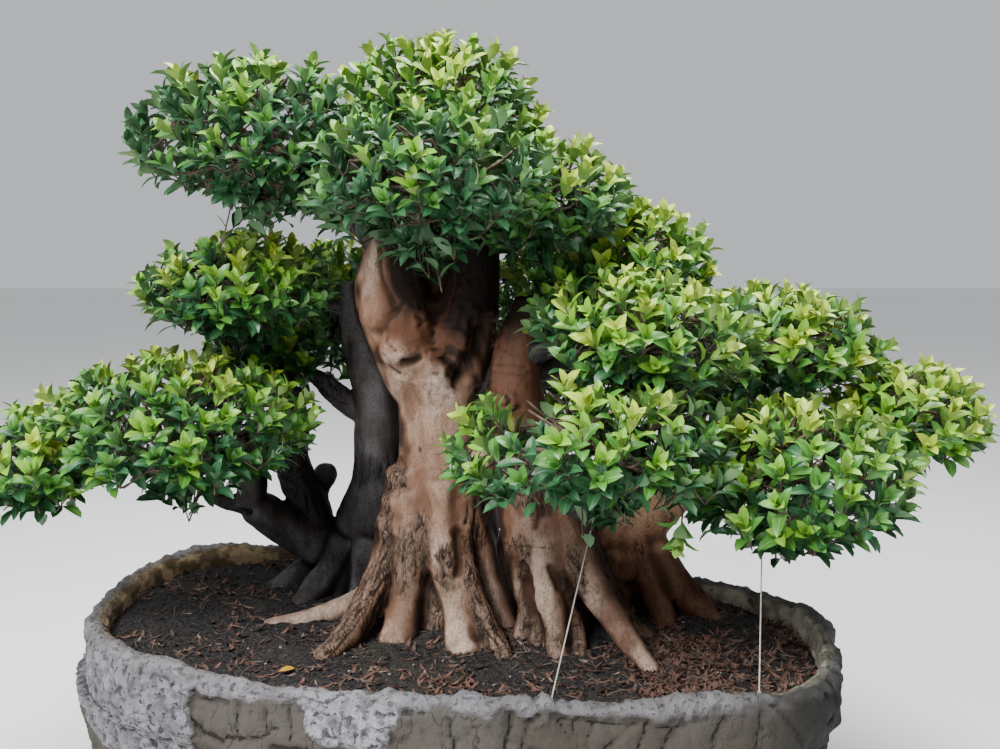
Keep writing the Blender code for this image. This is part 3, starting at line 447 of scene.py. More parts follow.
# Folds, scars and hollows on the bark's front: line of X and Z, half width, depth and darkness, which is
# partly scar colour and partly painted shade in the folds and hollows
MARKS = (
    (((-0.134, 1.215), (-0.130, 1.164), (-0.117, 1.134), (-0.105, 1.108)), 0.007, 0.005, 0.7),
    (((-0.136, 1.050), (-0.112, 1.070), (-0.092, 1.093)), 0.010, 0.005, 0.6),
    (((-0.121, 1.052), (-0.120, 1.026), (-0.106, 1.010)), 0.005, 0.004, 0.45),
    (((-0.062, 1.074), (-0.052, 1.068), (-0.056, 1.058)), 0.006, 0.006, 0.7),
    (((-0.090, 0.984), (-0.072, 0.990), (-0.060, 0.997)), 0.008, 0.010, 0.85),
    (((-0.104, 0.998), (-0.085, 1.006), (-0.066, 1.016)), 0.010, -0.006, 0.0),
    (((-0.130, 1.004), (-0.115, 0.978), (-0.096, 0.960)), 0.004, 0.003, 0.25),
    (((-0.100, 0.950), (-0.062, 0.943), (-0.014, 0.947)), 0.008, -0.004, 0.0),
    (((-0.012, 0.996), (0.010, 0.984), (0.028, 0.956)), 0.015, 0.018, 1.0),
    (((0.028, 0.948), (0.046, 0.975), (0.066, 1.005), (0.078, 1.050)), 0.022, 0.026, 1.0),
    (((0.006, 1.014), (0.036, 0.998)), 0.018, 0.012, 1.0),
    (((-0.020, 1.090), (-0.005, 1.150), (-0.010, 1.220)), 0.024, 0.016, 0.8),
    (((0.010, 0.801), (0.014, 0.795)), 0.006, 0.008, 0.9),
    (((-0.059, 0.802), (-0.058, 0.797)), 0.005, 0.004, 0.6),
    (((-0.030, 0.812), (0.003, 0.808), (0.022, 0.806)), 0.003, 0.002, 0.2),
    (((0.020, 0.622), (0.030, 0.582), (0.024, 0.548)), 0.012, 0.010, 0.55),
    (((0.108, 0.914), (0.114, 0.898), (0.128, 0.898), (0.132, 0.912), (0.122, 0.922)),
     0.005, 0.006, 0.7),
    (((0.098, 0.928), (0.100, 0.890), (0.126, 0.880), (0.148, 0.896)), 0.005, 0.003, 0.4),
    (((0.106, 0.961), (0.134, 0.966), (0.167, 0.955)), 0.005, 0.003, 0.35),
    (((0.104, 0.978), (0.132, 0.984), (0.164, 0.974)), 0.005, 0.003, 0.35),
    (((0.122, 0.610), (0.160, 0.618), (0.200, 0.614)), 0.003, 0.002, 0.3),
    (((0.176, 0.720), (0.190, 0.690), (0.180, 0.660)), 0.009, 0.006, 0.5),
    (((0.158, 0.570), (0.168, 0.520), (0.176, 0.470)), 0.010, 0.008, 0.6),
    (((0.212, 0.575), (0.228, 0.535)), 0.009, 0.005, 0.5),
)
MARK_DRIFT = 0.006
CRUST_DRIFT = 0.010
# Rough crusts on the bark's front: middle's X and Z, half width and half height
CRUSTS = (
    (-0.112, 0.738, 0.030, 0.050),
    (-0.062, 0.590, 0.034, 0.090),
    (-0.098, 0.560, 0.016, 0.080),
    (-0.004, 0.560, 0.022, 0.060),
    (0.060, 0.640, 0.030, 0.060),
    (0.192, 0.705, 0.050, 0.034),
    (0.150, 0.590, 0.030, 0.060),
    (0.262, 0.560, 0.024, 0.080),
)
# Red bark on the front: middle's X and Z, half width and half height
RED_PATCHES = (
    (-0.010, 1.030, 0.060, 0.055),
    (-0.110, 1.040, 0.050, 0.040),
    (0.150, 0.930, 0.070, 0.090),
    (0.205, 0.690, 0.080, 0.060),
    (0.120, 0.620, 0.050, 0.090),
    (0.060, 0.560, 0.030, 0.080),
)
# Where painted shade darkens the bark round its sides: from and to, as the normal's part towards -X and +X
SHADED_FLANKS = ((0.60, 1.00), (0.15, 0.92))
# Brown, crusty and near-black tones, as shares of a bark's warm tone; the near-black one serves dark cracks
# and painted shade
UMBER_SHARE = (0.42, 0.31, 0.25)
CRUST_SHARE = (0.50, 0.52, 0.54)
NEAR_BLACK_SHARE = (0.070, 0.065, 0.070)
# How much lighter pale bark is painted low on the wood, a painted highlight, and shares for dark crust and
# for the painted shade on a stem's foot
FOOT_HIGHLIGHT = 1.30
DARK_CRUST = 0.45
FOOT_SHADE_SHARE = 0.35
# Pale and warm tones of the trunk, the stem behind and the limbs in the shade, whose darker copy of the bark
# is painted shade
TAN_TONES = ((0.40, 0.295, 0.230), (0.31, 0.200, 0.140))
REAR_STEM_TONES = ((0.50, 0.31, 0.195), (0.41, 0.195, 0.106))
SHADED_LIMB_TONES = ((0.088, 0.085, 0.086), (0.050, 0.044, 0.043))
RED_BARK = (0.17, 0.066, 0.036)
# Painted shade under the crown: a ruddy tone, partly red bark, and near-black tones
RUDDY_SHADE = (0.115, 0.045, 0.024)
CROWN_SHADE_BARK = (0.010, 0.007, 0.006)
CROWN_SHADE_FLANK = (0.012, 0.008, 0.007)

# Twigs and leaves
# Least gap to a limb or an opening
LIMB_ROOM = 0.006
AREA_PER_SHOOT = 0.0036
# Shoots on masses at the back, inside a mass and on its underside, as shares of the outer ones
BEHIND_SHARE = 0.85
INNER_SHARE = 0.22
UNDERSIDE_SHARE = 0.50
# How much further in the shoots of the underside end
UNDERSIDE_RISE = 0.22
# How much directions are shaken, for forks and twigs and for shoots
BRANCH_SHAKE = 0.2
SPREAD_SHAKE = 0.10
# Where forks, twigs, outer and inner shoots end, as shares of a mass's own space
FORK_DEPTH = 0.45
TWIG_DEPTH = 0.70
SKIN_DEPTHS = (0.90, 1.03)
INNER_DEPTHS = (0.60, 0.82)
# A mass carries no shoots where a neighbour leaves it less than this share of its reach
LEAST_REACH = 0.62
# Radii at the start and end of forks, twigs, shoots and their stems, and how far they bow
FORK_RADII = (0.0075, 0.0045)
TWIG_RADII = (0.0040, 0.0024)
SHOOT_STEM_RADII = (0.0022, 0.0017)
SHOOT_RADII = (0.0017, 0.0010)
SPRIG_STEM_RADII = (0.0024, 0.0019)
SPRIG_RADII = (0.0019, 0.0012)
STEM_BOW = (0.0, 0.0, 0.010)
FORK_BOW = (0.0, 0.0, -0.006)
TWIG_BOW = 0.008
SHOOT_BOW = 0.006
# How much a shoot turns upwards, and how much its direction is shaken
SHOOT_LIFT = 0.85
SHOOT_SHAKE = 0.32
# Height of a direction where the underside starts, the band it fades in over, and its shoots' aim
UNDERSIDE_START = 0.05
UNDERSIDE_BAND = 0.35
UNDERSIDE_AIM = 0.15
# Light on a shoot beside the mass, what its top and its skin add, and the random part
LIGHT_ASIDE = 0.46
LIGHT_ABOVE = 0.40
LIGHT_OUTSIDE = 0.6
LIGHT_SHAKE = 0.26
# How fresh a mass's leaves are, from darker to more yellow-green: partly leaf age and partly painted light
# and shade for how lit the mass is
FRESHNESS_AND_LIGHT = {
    "crown_left": -0.18, "crown_front": -0.18, "crown_top": 0.07, "crown_right": -0.02,
    "right_shoulder": 0.16, "right_middle": 0.08, "right_slope": 0.12, "right_tip": 0.14,
    "lower_right_front": -0.03, "lower_right": -0.03, "lower_left": -0.05, "lower_left_tip": 0.02,
}
# Openings in the leaves: ends of each as x, y, z and radius
OPENINGS = (((0.150, -0.100, 0.975, 0.070), (0.147, -0.450, 1.010, 0.062)),)
# Share of the shoots that stand out, and how far
STRAY_SHARE = 0.06
STRAY_DEPTH = 0.07
# Sprigs that hang out of a mass: the mass, base and tip
SPRIGS = (
    ("lower_right_front", (0.428, -0.380, 0.765), (0.420, -0.400, 0.722)),
    ("lower_right", (0.600, -0.325, 0.770), (0.614, -0.335, 0.722)),
    ("lower_right", (0.650, -0.340, 0.775), (0.662, -0.350, 0.740)),
)
# Fallen leaf: its root, the way it points, the way it faces, its size and its bend
FALLEN_LEAF = ((-0.313, -0.254, 0.416), (0.8, 0.5, 0.05), (0.1, -0.25, 1.0), 0.62, 0.5)
FORKS_PER_MASS = 9
TWIGS_PER_FORK = 4
SHOOT_LENGTH = 0.060
SHOOT_LENGTH_SHARES = (0.75, 1.15)
# How far a shoot stays inside, as a share of the leaf at its tip, and how far it keeps clear
TIP_LEAF_SHARE = 0.85
TIP_ROOM_SHARE = 0.7
LEAVES_PER_SHOOT = (7, 10)
# Sizes and bends of leaves, and how much smaller the one at a shoot's tip is
LEAF_SIZES = (0.84, 1.12)
LEAF_BENDS = (0.5, 1.4)
TIP_LEAF_LOSS = 0.35
# Leaves nearer to the shoot's foot than this share are one tint older
OLDER_SHARE = 0.45
# Degrees between leaf and shoot at a shoot's foot, and how much less at its tip
LEAF_SPLAY = 60
LEAF_CLOSING = 44
LEAF_SPLAY_SHAKE = 10
LEAF_LENGTH = 0.054
LEAF_WIDTH = 0.0235
GOLDEN_TURN = math.pi * (3 - math.sqrt(5))
# Outline of a leaf: share of its length and half width there, as shares of length and width
LEAF_ROWS = ((0.08, 0.035), (0.31, 0.38), (0.58, 0.50), (0.84, 0.34))
LEAF_RIB = 0.028
LEAF_FOLD = 0.30
LEAF_ARCH = 0.30
LEAF_DROOP = 0.22
LEAF_THICKNESS = 0.025
# Colours of a spray's blades and of their undersides, from the youngest to the oldest; the darker tints also
# serve as painted shade inside and below the masses
TINTS = {
    "young": ((0.37, 0.50, 0.040), (0.34, 0.44, 0.10)),
    "fresh": ((0.175, 0.37, 0.028), (0.22, 0.35, 0.09)),
    "mature": ((0.066, 0.215, 0.028), (0.14, 0.26, 0.10)),
    "deep": ((0.026, 0.105, 0.036), (0.075, 0.16, 0.075)),
    "fallen": ((0.55, 0.30, 0.025), (0.45, 0.27, 0.05)),
}
FRESH_TINT = 1
OLDEST_TINT = 3
FALLEN_TINT = 4
# Least light in which a spray is young, fresh or mature
TINT_LIMITS = (0.74, 0.50, 0.20)
RIB_SHARE = 0.35
RIB_LIGHT = 1.35
# Roughness of a leaf's blade, underside and midrib
LEAF_ROUGHNESS = (0.30, 0.50, 0.34)
TWIG_TONES = ((0.055, 0.038, 0.028), (0.15, 0.11, 0.075))

# Soil: points round it, rings across it, its gap to the pot and how much narrower its foot is
SOIL_COLUMNS = 400
SOIL_RINGS = 66
SOIL_GAP = 0.0003
SOIL_TAPER = 0.026
SOIL_RISE = 0.003
SOIL_LUMPS = 0.007
SOIL_CRUMBS = 0.0045
SOIL_TONES = ((0.007, 0.006, 0.006), (0.044, 0.039, 0.038))
SOIL_PATCHES = (0.05, 0.047, 0.035)
SOIL_GRIT = (0.25, 0.23, 0.22)
# Mound round each foot: its height and its reach in the foot's radii
MOUND_HEIGHT = 0.016
MOUND_REACH = 1.9

# Litter: part, name, colour, pieces to the square metre, smallest and largest size
LITTER = (
    ("dry_leaf", "red_brown_litter", (0.185, 0.092, 0.070), 3700, 0.015, 0.037),
    ("dry_leaf", "brown_litter", (0.150, 0.092, 0.068), 3600, 0.014, 0.035),
    ("dry_leaf", "tan_litter", (0.30, 0.21, 0.16), 1000, 0.012, 0.030),
    ("twiglet", "grey_twiglets", (0.20, 0.15, 0.12), 1500, 0.014, 0.045),
    ("crumb", "dark_crumbs", (0.055, 0.045, 0.040), 1500, 0.004, 0.011),
    ("crumb", "pale_crumbs", (0.34, 0.32, 0.31), 420, 0.003, 0.008),
)
SEEDS_PER_LITTER = 10
# Most that a piece tilts, in radians
LITTER_TILT = 0.5
# Share of the litter on the soil's left side and what is added up to its right side
LITTER_SHARES = (0.32, 2.4)
# Outline of a dry leaf: share of its length and half width there
DRY_LEAF_ROWS = ((0.0, 0.02), (0.3, 0.11), (0.65, 0.12), (1.0, 0.02))
DRY_LEAF_THICKNESS = 0.04
DRY_LEAF_CURL = 0.55
DRY_LEAF_TROUGH = 0.22

# Training strings
STRING_TONES = ((0.42, 0.39, 0.33), (0.74, 0.71, 0.64))
TIE_RADIUS = 0.0013
STRAND_SHARE = 0.55
TIE_STRANDS = 3
TIE_PITCH = 0.016
TIE_STEPS_PER_TURN = 8
KNOT_RADIUS = 0.0042
KNOT_SPREAD = 0.62
KNOT_LIFT = 0.7
KNOT_STEPS = 36
KNOT_STEPS_PER_TURN = 12


class Wire:
    """An output of a node tree: sums and products of wires add Math nodes."""

    def __init__(self, tree, socket=None):
        self.tree = tree
        self.socket = socket

    def node(self, kind, inputs=None, output=0, **settings):
        """Any other node: its settings first, then the values or wires of its inputs."""
        made = self.tree.nodes.new(kind)
        for key, value in settings.items():
            setattr(made, key, value)
        for key, value in (inputs or {}).items():
            if isinstance(value, Wire):
                self.tree.links.new(value.socket, made.inputs[key])
            else:
                made.inputs[key].default_value = value
        return Wire(self.tree, made.outputs[output])

    def maths(self, operation, first, second):
        return self.node("ShaderNodeMath", {0: first, 1: second}, operation=operation)

    def __add__(self, other):
        return self.maths("ADD", self, other)

    def __sub__(self, other):
        return self.maths("SUBTRACT", self, other)

    def __rsub__(self, other):
        return self.maths("SUBTRACT", other, self)

    def __mul__(self, other):
        return self.maths("MULTIPLY", self, other)

    __radd__ = __add__
    __rmul__ = __mul__

    def part(self, axis):
        """X, Y or Z of a wire that carries a vector."""
        return self.node("ShaderNodeSeparateXYZ", {"Vector": self}, output=axis)

    def band(self, low, high):
        """0 at low, 1 at high, smooth between and level beyond."""
        sockets = {"Value": self, "From Min": low, "From Max": high}
        return self.node("ShaderNodeMapRange", sockets, interpolation_type="SMOOTHSTEP")

    def mix(self, low, high):
        """The colour low where the wire is 0 and high where it is 1."""
        low, high = (end if isinstance(end, Wire) else (*end, 1.0) for end in (low, high))
        return self.node("ShaderNodeMix", {0: self, 6: low, 7: high}, output=2, data_type="RGBA")


class Finish:
    """A Principled material while its nodes are put together."""

    def __init__(self, name, **sockets):
        self.material = bpy.data.materials.new(name)
        self.material.use_nodes = True
        self.tree = self.material.node_tree
        self.shader = self.tree.nodes["Principled BSDF"]
        self.wire = Wire(self.tree)
        self.place = self.wire.node("ShaderNodeTexCoord", output="Object")
        self.set(**sockets)

    def set(self, **sockets):
        """Sockets by their names in small letters, with _ for a space."""
        inputs = {socket.name.lower().replace(" ", "_"): socket for socket in self.shader.inputs}
        for name, value in sockets.items():
            socket = inputs[name]
            if isinstance(value, Wire):
                self.tree.links.new(value.socket, socket)
            elif isinstance(value, tuple):
                socket.default_value = (*value, 1.0)
            else:
                socket.default_value = value

    def clouds(self, scale, detail, roughness=0.55, stretch=(1.0, 1.0, 1.0)):
        """Soft random patches, scale to the metre."""
        place = self.wire.node("ShaderNodeMapping", {"Vector": self.place, "Scale": stretch})
        sockets = {"Vector": place, "Scale": scale, "Detail": detail, "Roughness": roughness}
        return self.wire.node("ShaderNodeTexNoise", sockets)

    def folds(self, scale, stretch=(1.0, 1.0, 1.0)):
        """0 along wandering lines and up to a half between them."""
        centred = self.clouds(scale, 3.0, stretch=stretch) - 0.5
        return centred.maths("MAXIMUM", centred, 0.0 - centred)

    def attributes(self, *names):
        return [self.wire.node("ShaderNodeAttribute", output="Fac", attribute_name=name)
                for name in names]

    def bump(self, height, distance, strength):
        sockets = {"Height": height, "Distance": distance, "Strength": strength}
        return self.wire.node("ShaderNodeBump", sockets)


def link_object(name, data):
    made = bpy.data.objects.new(name, data)
    bpy.context.scene.collection.objects.link(made)
    return made


def discard(*items):
    for item in items:
        bpy.data.objects.remove(item, do_unlink=True)


def plain_mesh(item):
    """Turn an object's modifiers or curve into a plain mesh object of the same name."""
    graph = bpy.context.evaluated_depsgraph_get()
    mesh = bpy.data.meshes.new_from_object(item.evaluated_get(graph))
    name = item.name
    discard(item)
    mesh.name = name
    return link_object(name, mesh)


def object_of(shape, name):
    """Turn a finished bmesh into an object."""
    mesh = bpy.data.meshes.new(name)
    shape.to_mesh(mesh)
    shape.free()
    return link_object(name, mesh)


def round_wires(name, paths, radius, resolution):
    """One mesh of round wires: a path's stations are a place and a share of the radius."""
    curve = bpy.data.curves.new(name, "CURVE")
    curve.dimensions = "3D"
    curve.bevel_depth = radius
    curve.bevel_resolution = resolution
    curve.use_fill_caps = True
    for path in paths:
        spline = curve.splines.new("POLY")
        spline.points.add(len(path) - 1)
        for point, (place, share) in zip(spline.points, path):
            point.co = (*place, 1.0)
            point.radius = share
    item = plain_mesh(link_object(name, curve))
    item.data.shade_smooth()
    return item


def finish_piece(item, slot, *nodes, materials=()):
    """Dress a piece, hang it on the plant and let it stand for its solids."""
    if materials:
        item.data.materials.clear()
        for material in materials:
            item.data.materials.append(material)
    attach(item, "root")
    if nodes:
        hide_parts(*nodes)


def times(colour, share):
    """A colour times one share, or times a share each for its red, green and blue."""
    shares = share if isinstance(share, tuple) else (share,) * 3
    return tuple(part * each for part, each in zip(colour, shares))


def turned(side, other, turn):
    """The direction that lies a turn away from one side, towards the other."""
    return side * math.cos(turn) + other * math.sin(turn)


def coordinates(mesh):
    flat = numpy.empty(len(mesh.vertices) * 3)
    mesh.vertices.foreach_get("co", flat)
    return flat.reshape(-1, 3)


def normals(mesh):
    flat = numpy.empty(len(mesh.vertices) * 3)
    mesh.vertices.foreach_get("normal", flat)
    return flat.reshape(-1, 3)


def put_coordinates(mesh, places):
    mesh.vertices.foreach_set("co", places.ravel())
    mesh.update()


def put_attribute(mesh, name, values):
    layer = mesh.attributes.new(name, "FLOAT", "POINT")
    layer.data.foreach_set("value", numpy.asarray(values, dtype=float))


def edge_ends(mesh):
    flat = numpy.empty(len(mesh.edges) * 2, dtype=int)
    mesh.edges.foreach_get("vertices", flat)
    return flat.reshape(-1, 2).T


def blurred(values, ends, rounds):
    """Values averaged with their neighbours along the mesh's edges."""
    first, second = ends
    count = len(values)
    shared = numpy.bincount(first, minlength=count) + numpy.bincount(second, minlength=count)
    for _ in range(rounds):
        total = numpy.bincount(first, values[second], count)
        total += numpy.bincount(second, values[first], count)
        values = 0.5 * values + 0.5 * total / numpy.maximum(shared, 1)
    return values


def hollowness(mesh, ends, rounds, depth):
    """0.5 where the surface is flat, up to 1 in its hollows and down to 0 on its ridges."""
    places = coordinates(mesh)
    eased = numpy.stack([blurred(axis, ends, rounds) for axis in places.T], axis=1)
    lift = ((eased - places) * normals(mesh)).sum(axis=1)
    return numpy.clip(0.5 + 0.5 * lift / depth, 0.0, 1.0)


def smooth_step(values, low, high):
    share = numpy.clip((values - low) / (high - low), 0.0, 1.0)
    return share * share * (3 - 2 * share)


def soft_noise(places, scale, seed=0.0):
    """Soft noise from -1 to 1 at every place, with scale lumps to the metre."""
    spots = places * numpy.array(scale) + seed * SEED_SHIFT
    return numpy.array([noise.noise(Vector(spot)) for spot in spots])


def rough_noise(places, scale, octaves, seed=0.0):
    """Rough noise from about -1 to 1, with ever finer lumps."""
    spots = places * numpy.array(scale) + seed * SEED_SHIFT
    return numpy.array([
        noise.fractal(Vector(spot), OCTAVE_FADE, OCTAVE_STEP, octaves) for spot in spots])


def cells(places, scale, seed=0.0):
    """Distance to the border between cells of stone or bark, and a random number for each cell."""
    spots = places * numpy.array(scale) + seed * SEED_SHIFT
    borders = numpy.empty(len(spots))
    marks = numpy.empty(len(spots))
    for index, spot in enumerate(spots):
        distances, middles = noise.voronoi(Vector(spot))
        borders[index] = distances[1] - distances[0]
        marks[index] = noise.cell(middles[0] * CELL_MARK_SCALE)
    return borders, marks


# Camera, lights and floor


def place_camera():
    camera = bpy.data.cameras.new("camera")
    camera.lens = CAMERA_LENS
    camera.sensor_width = SENSOR_WIDTH
    holder = link_object("camera", camera)
    holder.location = CAMERA_PLACE
    holder.rotation_euler = (math.radians(90 - CAMERA_TILT), 0.0, 0.0)
    bpy.context.scene.camera = holder


def light_scene():
    for name, (place, faces, width, power) in SOFT_BOXES.items():
        light = bpy.data.lights.new(name, "AREA")
        light.size = width
        light.energy = power
        holder = link_object(name, light)
        holder.location = place
        holder.rotation_mode = "QUATERNION"
        holder.rotation_quaternion = (Vector(faces) - Vector(place)).to_track_quat("-Z", "Y")
    world = bpy.data.worlds.new("sky")
    world.use_nodes = True
    background = world.node_tree.nodes["Background"]
    background.inputs["Color"].default_value = (*SKY_COLOUR, 1.0)
    background.inputs["Strength"].default_value = SKY_STRENGTH
    bpy.context.scene.world = world


def make_floor():
    shape = bmesh.new()
    bmesh.ops.create_grid(shape, x_segments=2, y_segments=2, size=FLOOR_HALF_WIDTH)
    floor = object_of(shape, "floor")
    finish = Finish("pale_floor", base_color=FLOOR_COLOUR, roughness=0.8)
    floor.data.materials.append(finish.material)


# Limbs and their bark


def smooth_path(stations, per_span):
    """Stations (x, y, z, radius) joined by a smooth curve through every one of them."""
    rows = [Vector(station) for station in stations]
    rows = [2 * rows[0] - rows[1]] + rows + [2 * rows[-1] - rows[-2]]
    path = []
    for before, start, end, after in zip(rows, rows[1:], rows[2:], rows[3:]):
        for step in range(per_span):
            t = step / per_span
            path.append(0.5 * (
                2 * start
                + (end - before) * t
                + (2 * before - 5 * start + 4 * end - after) * t ** 2
                + (3 * start - before - 3 * end + after) * t ** 3
            ))
    path.append(rows[-2])
    return path


def root_path(limb, bearing, swing, reach, top, radius, tip_radius):
    """A root that leaves the wood as a ridge at its top and dives into the soil at its tip."""
    foot = limb[0]
    wood = min(smooth_path(limb, 4), key=lambda station: abs(station.z - top))
    path = []
    for step in range(ROOT_STATIONS):
        t = step / (ROOT_STATIONS - 1)
        shakes = [noise.noise(Vector((bearing * 0.37, 2.6 * t, reach * 9 + shift)))
                  for shift in ROOT_SHAKES]
        angle = math.radians(bearing + swing * t + ROOT_WOBBLE * shakes[0])
        near = ROOT_START * wood.w
        out = near + (reach - near) * t ** ROOT_SPREAD
        middle = wood.lerp(Vector(foot), min(1.0, ROOT_LEAVING * t))
        thick = (radius + (tip_radius - radius) * t) * (1 + ROOT_UNEVENNESS * shakes[1])
        level = SOIL_LEVEL + (top - SOIL_LEVEL) * (1 - t) ** ROOT_FALL
        path.append(Vector((
            middle.x + out * math.cos(angle),
            middle.y + out * math.sin(angle),
            level + thick * ROOT_DIVE * (0.4 - 1.4 * t),
            thick,
        )))
    return path


def loft(shape, rings):
    """Close a stack of point rings, all of one length, into a solid."""
    rows = [[shape.verts.new(point) for point in ring] for ring in rings]
    for low, high in zip(rows, rows[1:]):
        for here in range(len(low)):
            ahead = (here + 1) % len(low)
            shape.faces.new((low[here], low[ahead], high[ahead], high[here]))
    shape.faces.new(reversed(rows[0]))
    shape.faces.new(rows[-1])


class Axis:
    """A limb's axis in short steps, with the frame that its bark's grain follows."""

    def __init__(self, path):
        self.path = path
        steps = []
        for start, end in zip(path, path[1:]):
            count = max(1, round((end - start).to_3d().length / AXIS_STEP))
            steps += [start.lerp(end, step / count) for step in range(count)]
        steps.append(path[-1])
        points = [step.to_3d() for step in steps]
        across = None
        frames = []
        run = 0.0
        for index, point in enumerate(points):
            ahead = points[min(index + 1, len(points) - 1)] - points[max(index - 1, 0)]
            ahead.normalize()
            across = across or ahead.orthogonal()
            across = (across - ahead * across.dot(ahead)).normalized()
            run += (point - points[max(index - 1, 0)]).length
            frames.append((across, ahead.cross(across), ahead, run))
        self.places = numpy.array(points)
        self.radii = numpy.array([step.w for step in steps])
        self.across = numpy.array([row[0] for row in frames])
        self.up = numpy.array([row[1] for row in frames])
        self.along = numpy.array([row[2] for row in frames])
        self.runs = numpy.array([row[3] for row in frames])

    def add_tube(self, shape, sides):
        rings = []
        for place, across, up, radius in zip(self.places, self.across, self.up, self.radii):
            turns = (2 * math.pi * side / sides for side in range(sides))
            rings.append([place + turned(across, up, turn) * radius for turn in turns])
        loft(shape, rings)


def grain_places(places, axes):
    """Of each place on the bark: where it lies across and along its limb, its radius, its limb."""
    middles, radii, across, up, along, runs = (
        numpy.concatenate([getattr(axis, part) for axis in axes])
        for part in ("places", "radii", "across", "up", "along", "runs"))
    limbs = numpy.concatenate([numpy.full(len(axis.runs), number) for number, axis in enumerate(axes)])
    near = numpy.empty(len(places), dtype=int)
    for start in range(0, len(places), SEARCH_CHUNK):
        part = places[start:start + SEARCH_CHUNK]
        apart = numpy.linalg.norm(part[:, None, :] - middles[None, :, :], axis=2) - radii[None, :]
        near[start:start + SEARCH_CHUNK] = apart.argmin(axis=1)
    offset = places - middles[near]
    grain = numpy.stack([
        (offset * across[near]).sum(axis=1),
        (offset * up[near]).sum(axis=1),
        (offset * along[near]).sum(axis=1) + runs[near] + LIMB_SHIFT * limbs[near],
    ], axis=1)
    return grain, radii[near], limbs[near]


def front_gap(spots, line):
    """How far each spot, a pair of X and Z, lies from a line of such pairs."""
    gap = numpy.full(len(spots), 9.0)
    for start, end in zip(numpy.array(line), numpy.array(line[1:])):
        run = end - start
        share = numpy.clip((spots - start) @ run / (run @ run), 0.0, 1.0)
        gap = numpy.minimum(gap, numpy.linalg.norm(spots - start - share[:, None] * run, axis=1))
    return gap


def front_patches(spots, patches):
    """1 in the middle of each patch and 0 outside them all."""
    shown = numpy.zeros(len(spots))
    for across, height, half_width, half_height in patches:
        apart = (spots - (across, height)) / (half_width, half_height)
        shown = numpy.maximum(shown, 1 - smooth_step(numpy.linalg.norm(apart, axis=1), 0.6, 1.1))
    return shown


def deepen_valleys(mesh):
    """Sink the hollows of a skin below the average of what lies round them."""
    places = coordinates(mesh)
    outward = normals(mesh)
    ends = edge_ends(mesh)
    eased = numpy.stack([blurred(axis, ends, VALLEY_ROUNDS) for axis in places.T], axis=1)
    lift = numpy.clip(((eased - places) * outward).sum(axis=1), *VALLEY_LIMITS)
    put_coordinates(mesh, places - outward * (VALLEY_SHARE * blurred(lift, ends, 6))[:, None])


def seam_share(limbs, ends):
    """1 where one limb's skin meets another's, fading to 0 beside."""
    seams = limbs[ends[0]] != limbs[ends[1]]
    seam = numpy.zeros(len(limbs))
    seam[ends[0][seams]] = 1.0
    seam[ends[1][seams]] = 1.0
    return numpy.clip(blurred(seam, ends, 12) * 5, 0.0, 1.0)


def drifts(places, scale, seeds):
    """Two noises, for moving pairs of X and Z."""
    return numpy.stack([soft_noise(places, scale, seed) for seed in seeds], axis=1)


def cut_marks(relief, front, facing, wobble):
    """Cut the marks into the relief and tell how dark each place gets by them, partly scar colour and partly
    painted shade.
    """
    scarred = numpy.zeros(len(relief))
    for line, width, depth, darkness in MARKS:
        apart = front_gap(front, line) / width * wobble
        relief -= facing * depth * numpy.exp(-1.2 * apart ** 2)
        relief += facing * abs(depth) * 0.25 * numpy.exp(-((apart - 1.7) / 0.5) ** 2)
        scarred = numpy.maximum(scarred, darkness * facing * numpy.exp(-1.6 * apart ** 2))
    return scarred


